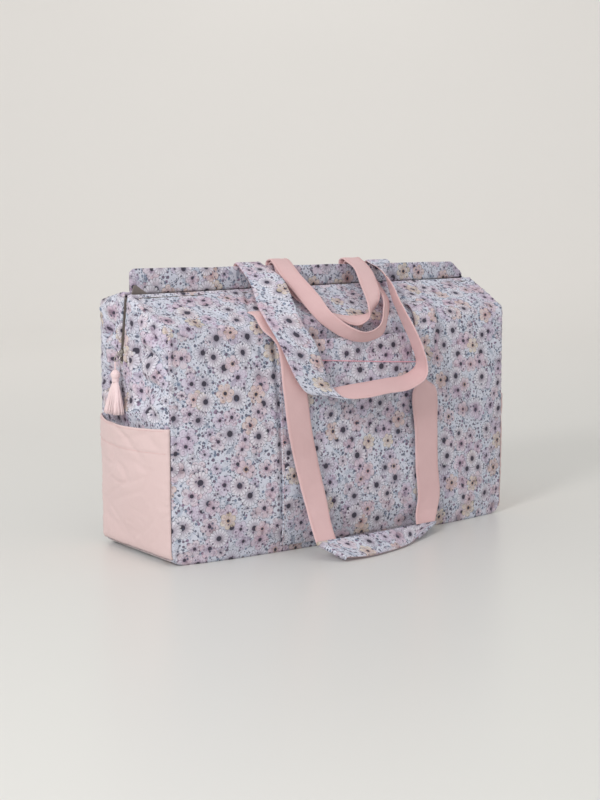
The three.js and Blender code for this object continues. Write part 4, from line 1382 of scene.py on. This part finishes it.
def tassel():
    """The cord's three plies, the head's strands round a core, the wrap below it and the skirt's threads."""
    v = np.linspace(0, 1, 40)
    twist = TURN * CORD_TURNS * (1 - v)
    plies = [round_tassel(TURN * k / 3 + twist, 0.58, 0.58, CORD_TOP_Z - 10 * v, 0.5916, 6) for k in range(3)]
    thread_piece("tassel_twisted_cord", plies, "tassel_cord")
    v = np.linspace(0, 1, 12)
    z = HEAD_TOP_Z - 13 * v
    radius = 7.6 * np.sin(math.pi * (0.1 + 0.8 * v)) ** 0.8 - 0.9
    head = []
    for k in range(HEAD_STRANDS):
        angle = TURN * k / HEAD_STRANDS + 0.25 * v
        head.append(round_tassel(angle, 0.78 * radius, radius, z, 0.62, 5))
    head.append(round_tassel(0, 0, 0, z - 0.2, 4.8 * np.sin(math.pi * (0.1 + 0.78 * v)), 16))
    thread_piece("tassel_head", head, "tassel_knot")
    v = np.linspace(0, 1, 25)
    wraps = [round_tassel(TURN * v, 3.9, 4.9, WRAP_TOP_Z - 0.9 * (k - v), 0.5, 6) for k in range(5)]
    thread_piece("tassel_wrap", wraps)
    rng = np.random.default_rng(7)
    v = np.linspace(0, 1, 9)
    flare = 3.6 + 17.4 * v**0.75
    threads = []
    for _ in range(SKIRT_THREADS // FINE):
        a = rng.uniform(0, TURN)
        reach = rng.uniform(0, 1) ** 0.33 * flare
        sway = 0.8 * np.sin(3 * v + rng.uniform(0, 6)) * v
        x = TASSEL_X - 3.2 * v + 0.42 * reach * np.cos(a) + 0.3 * sway
        z = SKIRT_TOP_Z - (SKIRT_LENGTH - rng.uniform(0, 2.2)) * v
        threads.append(tube(stack(x, TASSEL_Y + reach * np.sin(a) + sway, z), 0.58 - 0.1 * v, 5))
    thread_piece("tassel_threads", threads, "tassel_skirt")


# ---------------------------------------------------------------- stage
def paper_sweep():
    """A paper floor that curves up into a backdrop, facing the camera."""
    across_count = 9
    along_view = Vector((CAMERA_AIM[0], CAMERA_AIM[1], 0)).normalized()
    across = Vector((along_view.y, -along_view.x, 0))
    track = [(-4.0 + 0.25 * k, 0.0) for k in range(27)]
    track += [(2.5 + 1.5 * math.sin(a), 1.5 - 1.5 * math.cos(a)) for a in np.linspace(0.1, math.pi / 2, 12)]
    track += [(4.0, 1.5 + 0.4 * k) for k in range(1, 9)]
    vertices = []
    for run, rise in track:
        for i in range(across_count):
            point = along_view * run + across * (i - 4) * 1.2
            vertices.append((point.x / MM, point.y / MM, rise / MM - 0.05))
    obj = make_object("paper_sweep", vertices, grid_faces(len(track), across_count, True))
    obj.data.materials.append(stage_paper())


BAG_MIDDLE = (0, 0, 0.2)
SKY_COLOUR = (1.0, 0.995, 0.985, 1)
SKY_STRENGTH = 0.72


def area_light(name, place, target, size, power, colour):
    data = bpy.data.lights.new(name, "AREA")
    data.shape = "RECTANGLE"
    data.size = data.size_y = size
    data.energy = power
    data.color = colour
    light = bpy.data.objects.new(name, data)
    light.location = place
    light.rotation_euler = (Vector(target) - Vector(place)).to_track_quat("-Z", "Y").to_euler()
    bpy.context.scene.collection.objects.link(light)


def lighting():
    world = bpy.data.worlds.new("studio")
    bpy.context.scene.world = world
    world.use_nodes = True
    sky = world.node_tree.nodes["Background"]
    sky.inputs["Color"].default_value = SKY_COLOUR
    sky.inputs["Strength"].default_value = SKY_STRENGTH
    area_light("key_left", (-2.75, -1.25, 1.8), BAG_MIDDLE, 0.7, 46, (1.0, 0.985, 0.97))
    area_light("backdrop_wash", (0.9, 1.2, 2.2), (2.6, 3.8, 1.2), 1.5, 6, (1.0, 0.99, 0.98))
    area_light("top_soft", (-0.4, -0.9, 3.0), BAG_MIDDLE, 1.2, 3, (1.0, 0.99, 0.98))
    bpy.context.scene.view_settings.view_transform = "Standard"
    bpy.context.scene.view_settings.look = "None"


# ---------------------------------------------------------------- assembly
front_shell()
back_shell()
base_shell()
for end_name, end_side, end_seed in (("left", -1, 120), ("right", 1, 140)):
    end_shell(end_name, end_side, end_seed)
    end_lining(end_name, end_side)
    end_pocket(end_name, end_side, end_seed + 30)
side_lining("front_lining_cloth", -1, FRONT_SHOULDER, ("front_lining",))
side_lining("back_and_top_lining_cloth", 1, BACK_SHOULDER,
            ("back_lining", "top_flap_lining"))
base_lining()
standing_band()
front_pocket()
zips()
tape_end()
slider()
stops()
pull_ring()
tassel()
long_handle("front", front_handle_stations(), 1, 201)
long_handle("back", strap_frame(BACK_HANDLE, 300 // FINE), -1, 211)
short_handle("outer", OUTER_SHORT, 221)
short_handle("inner", INNER_SHORT, 231)
paper_sweep()
lighting()
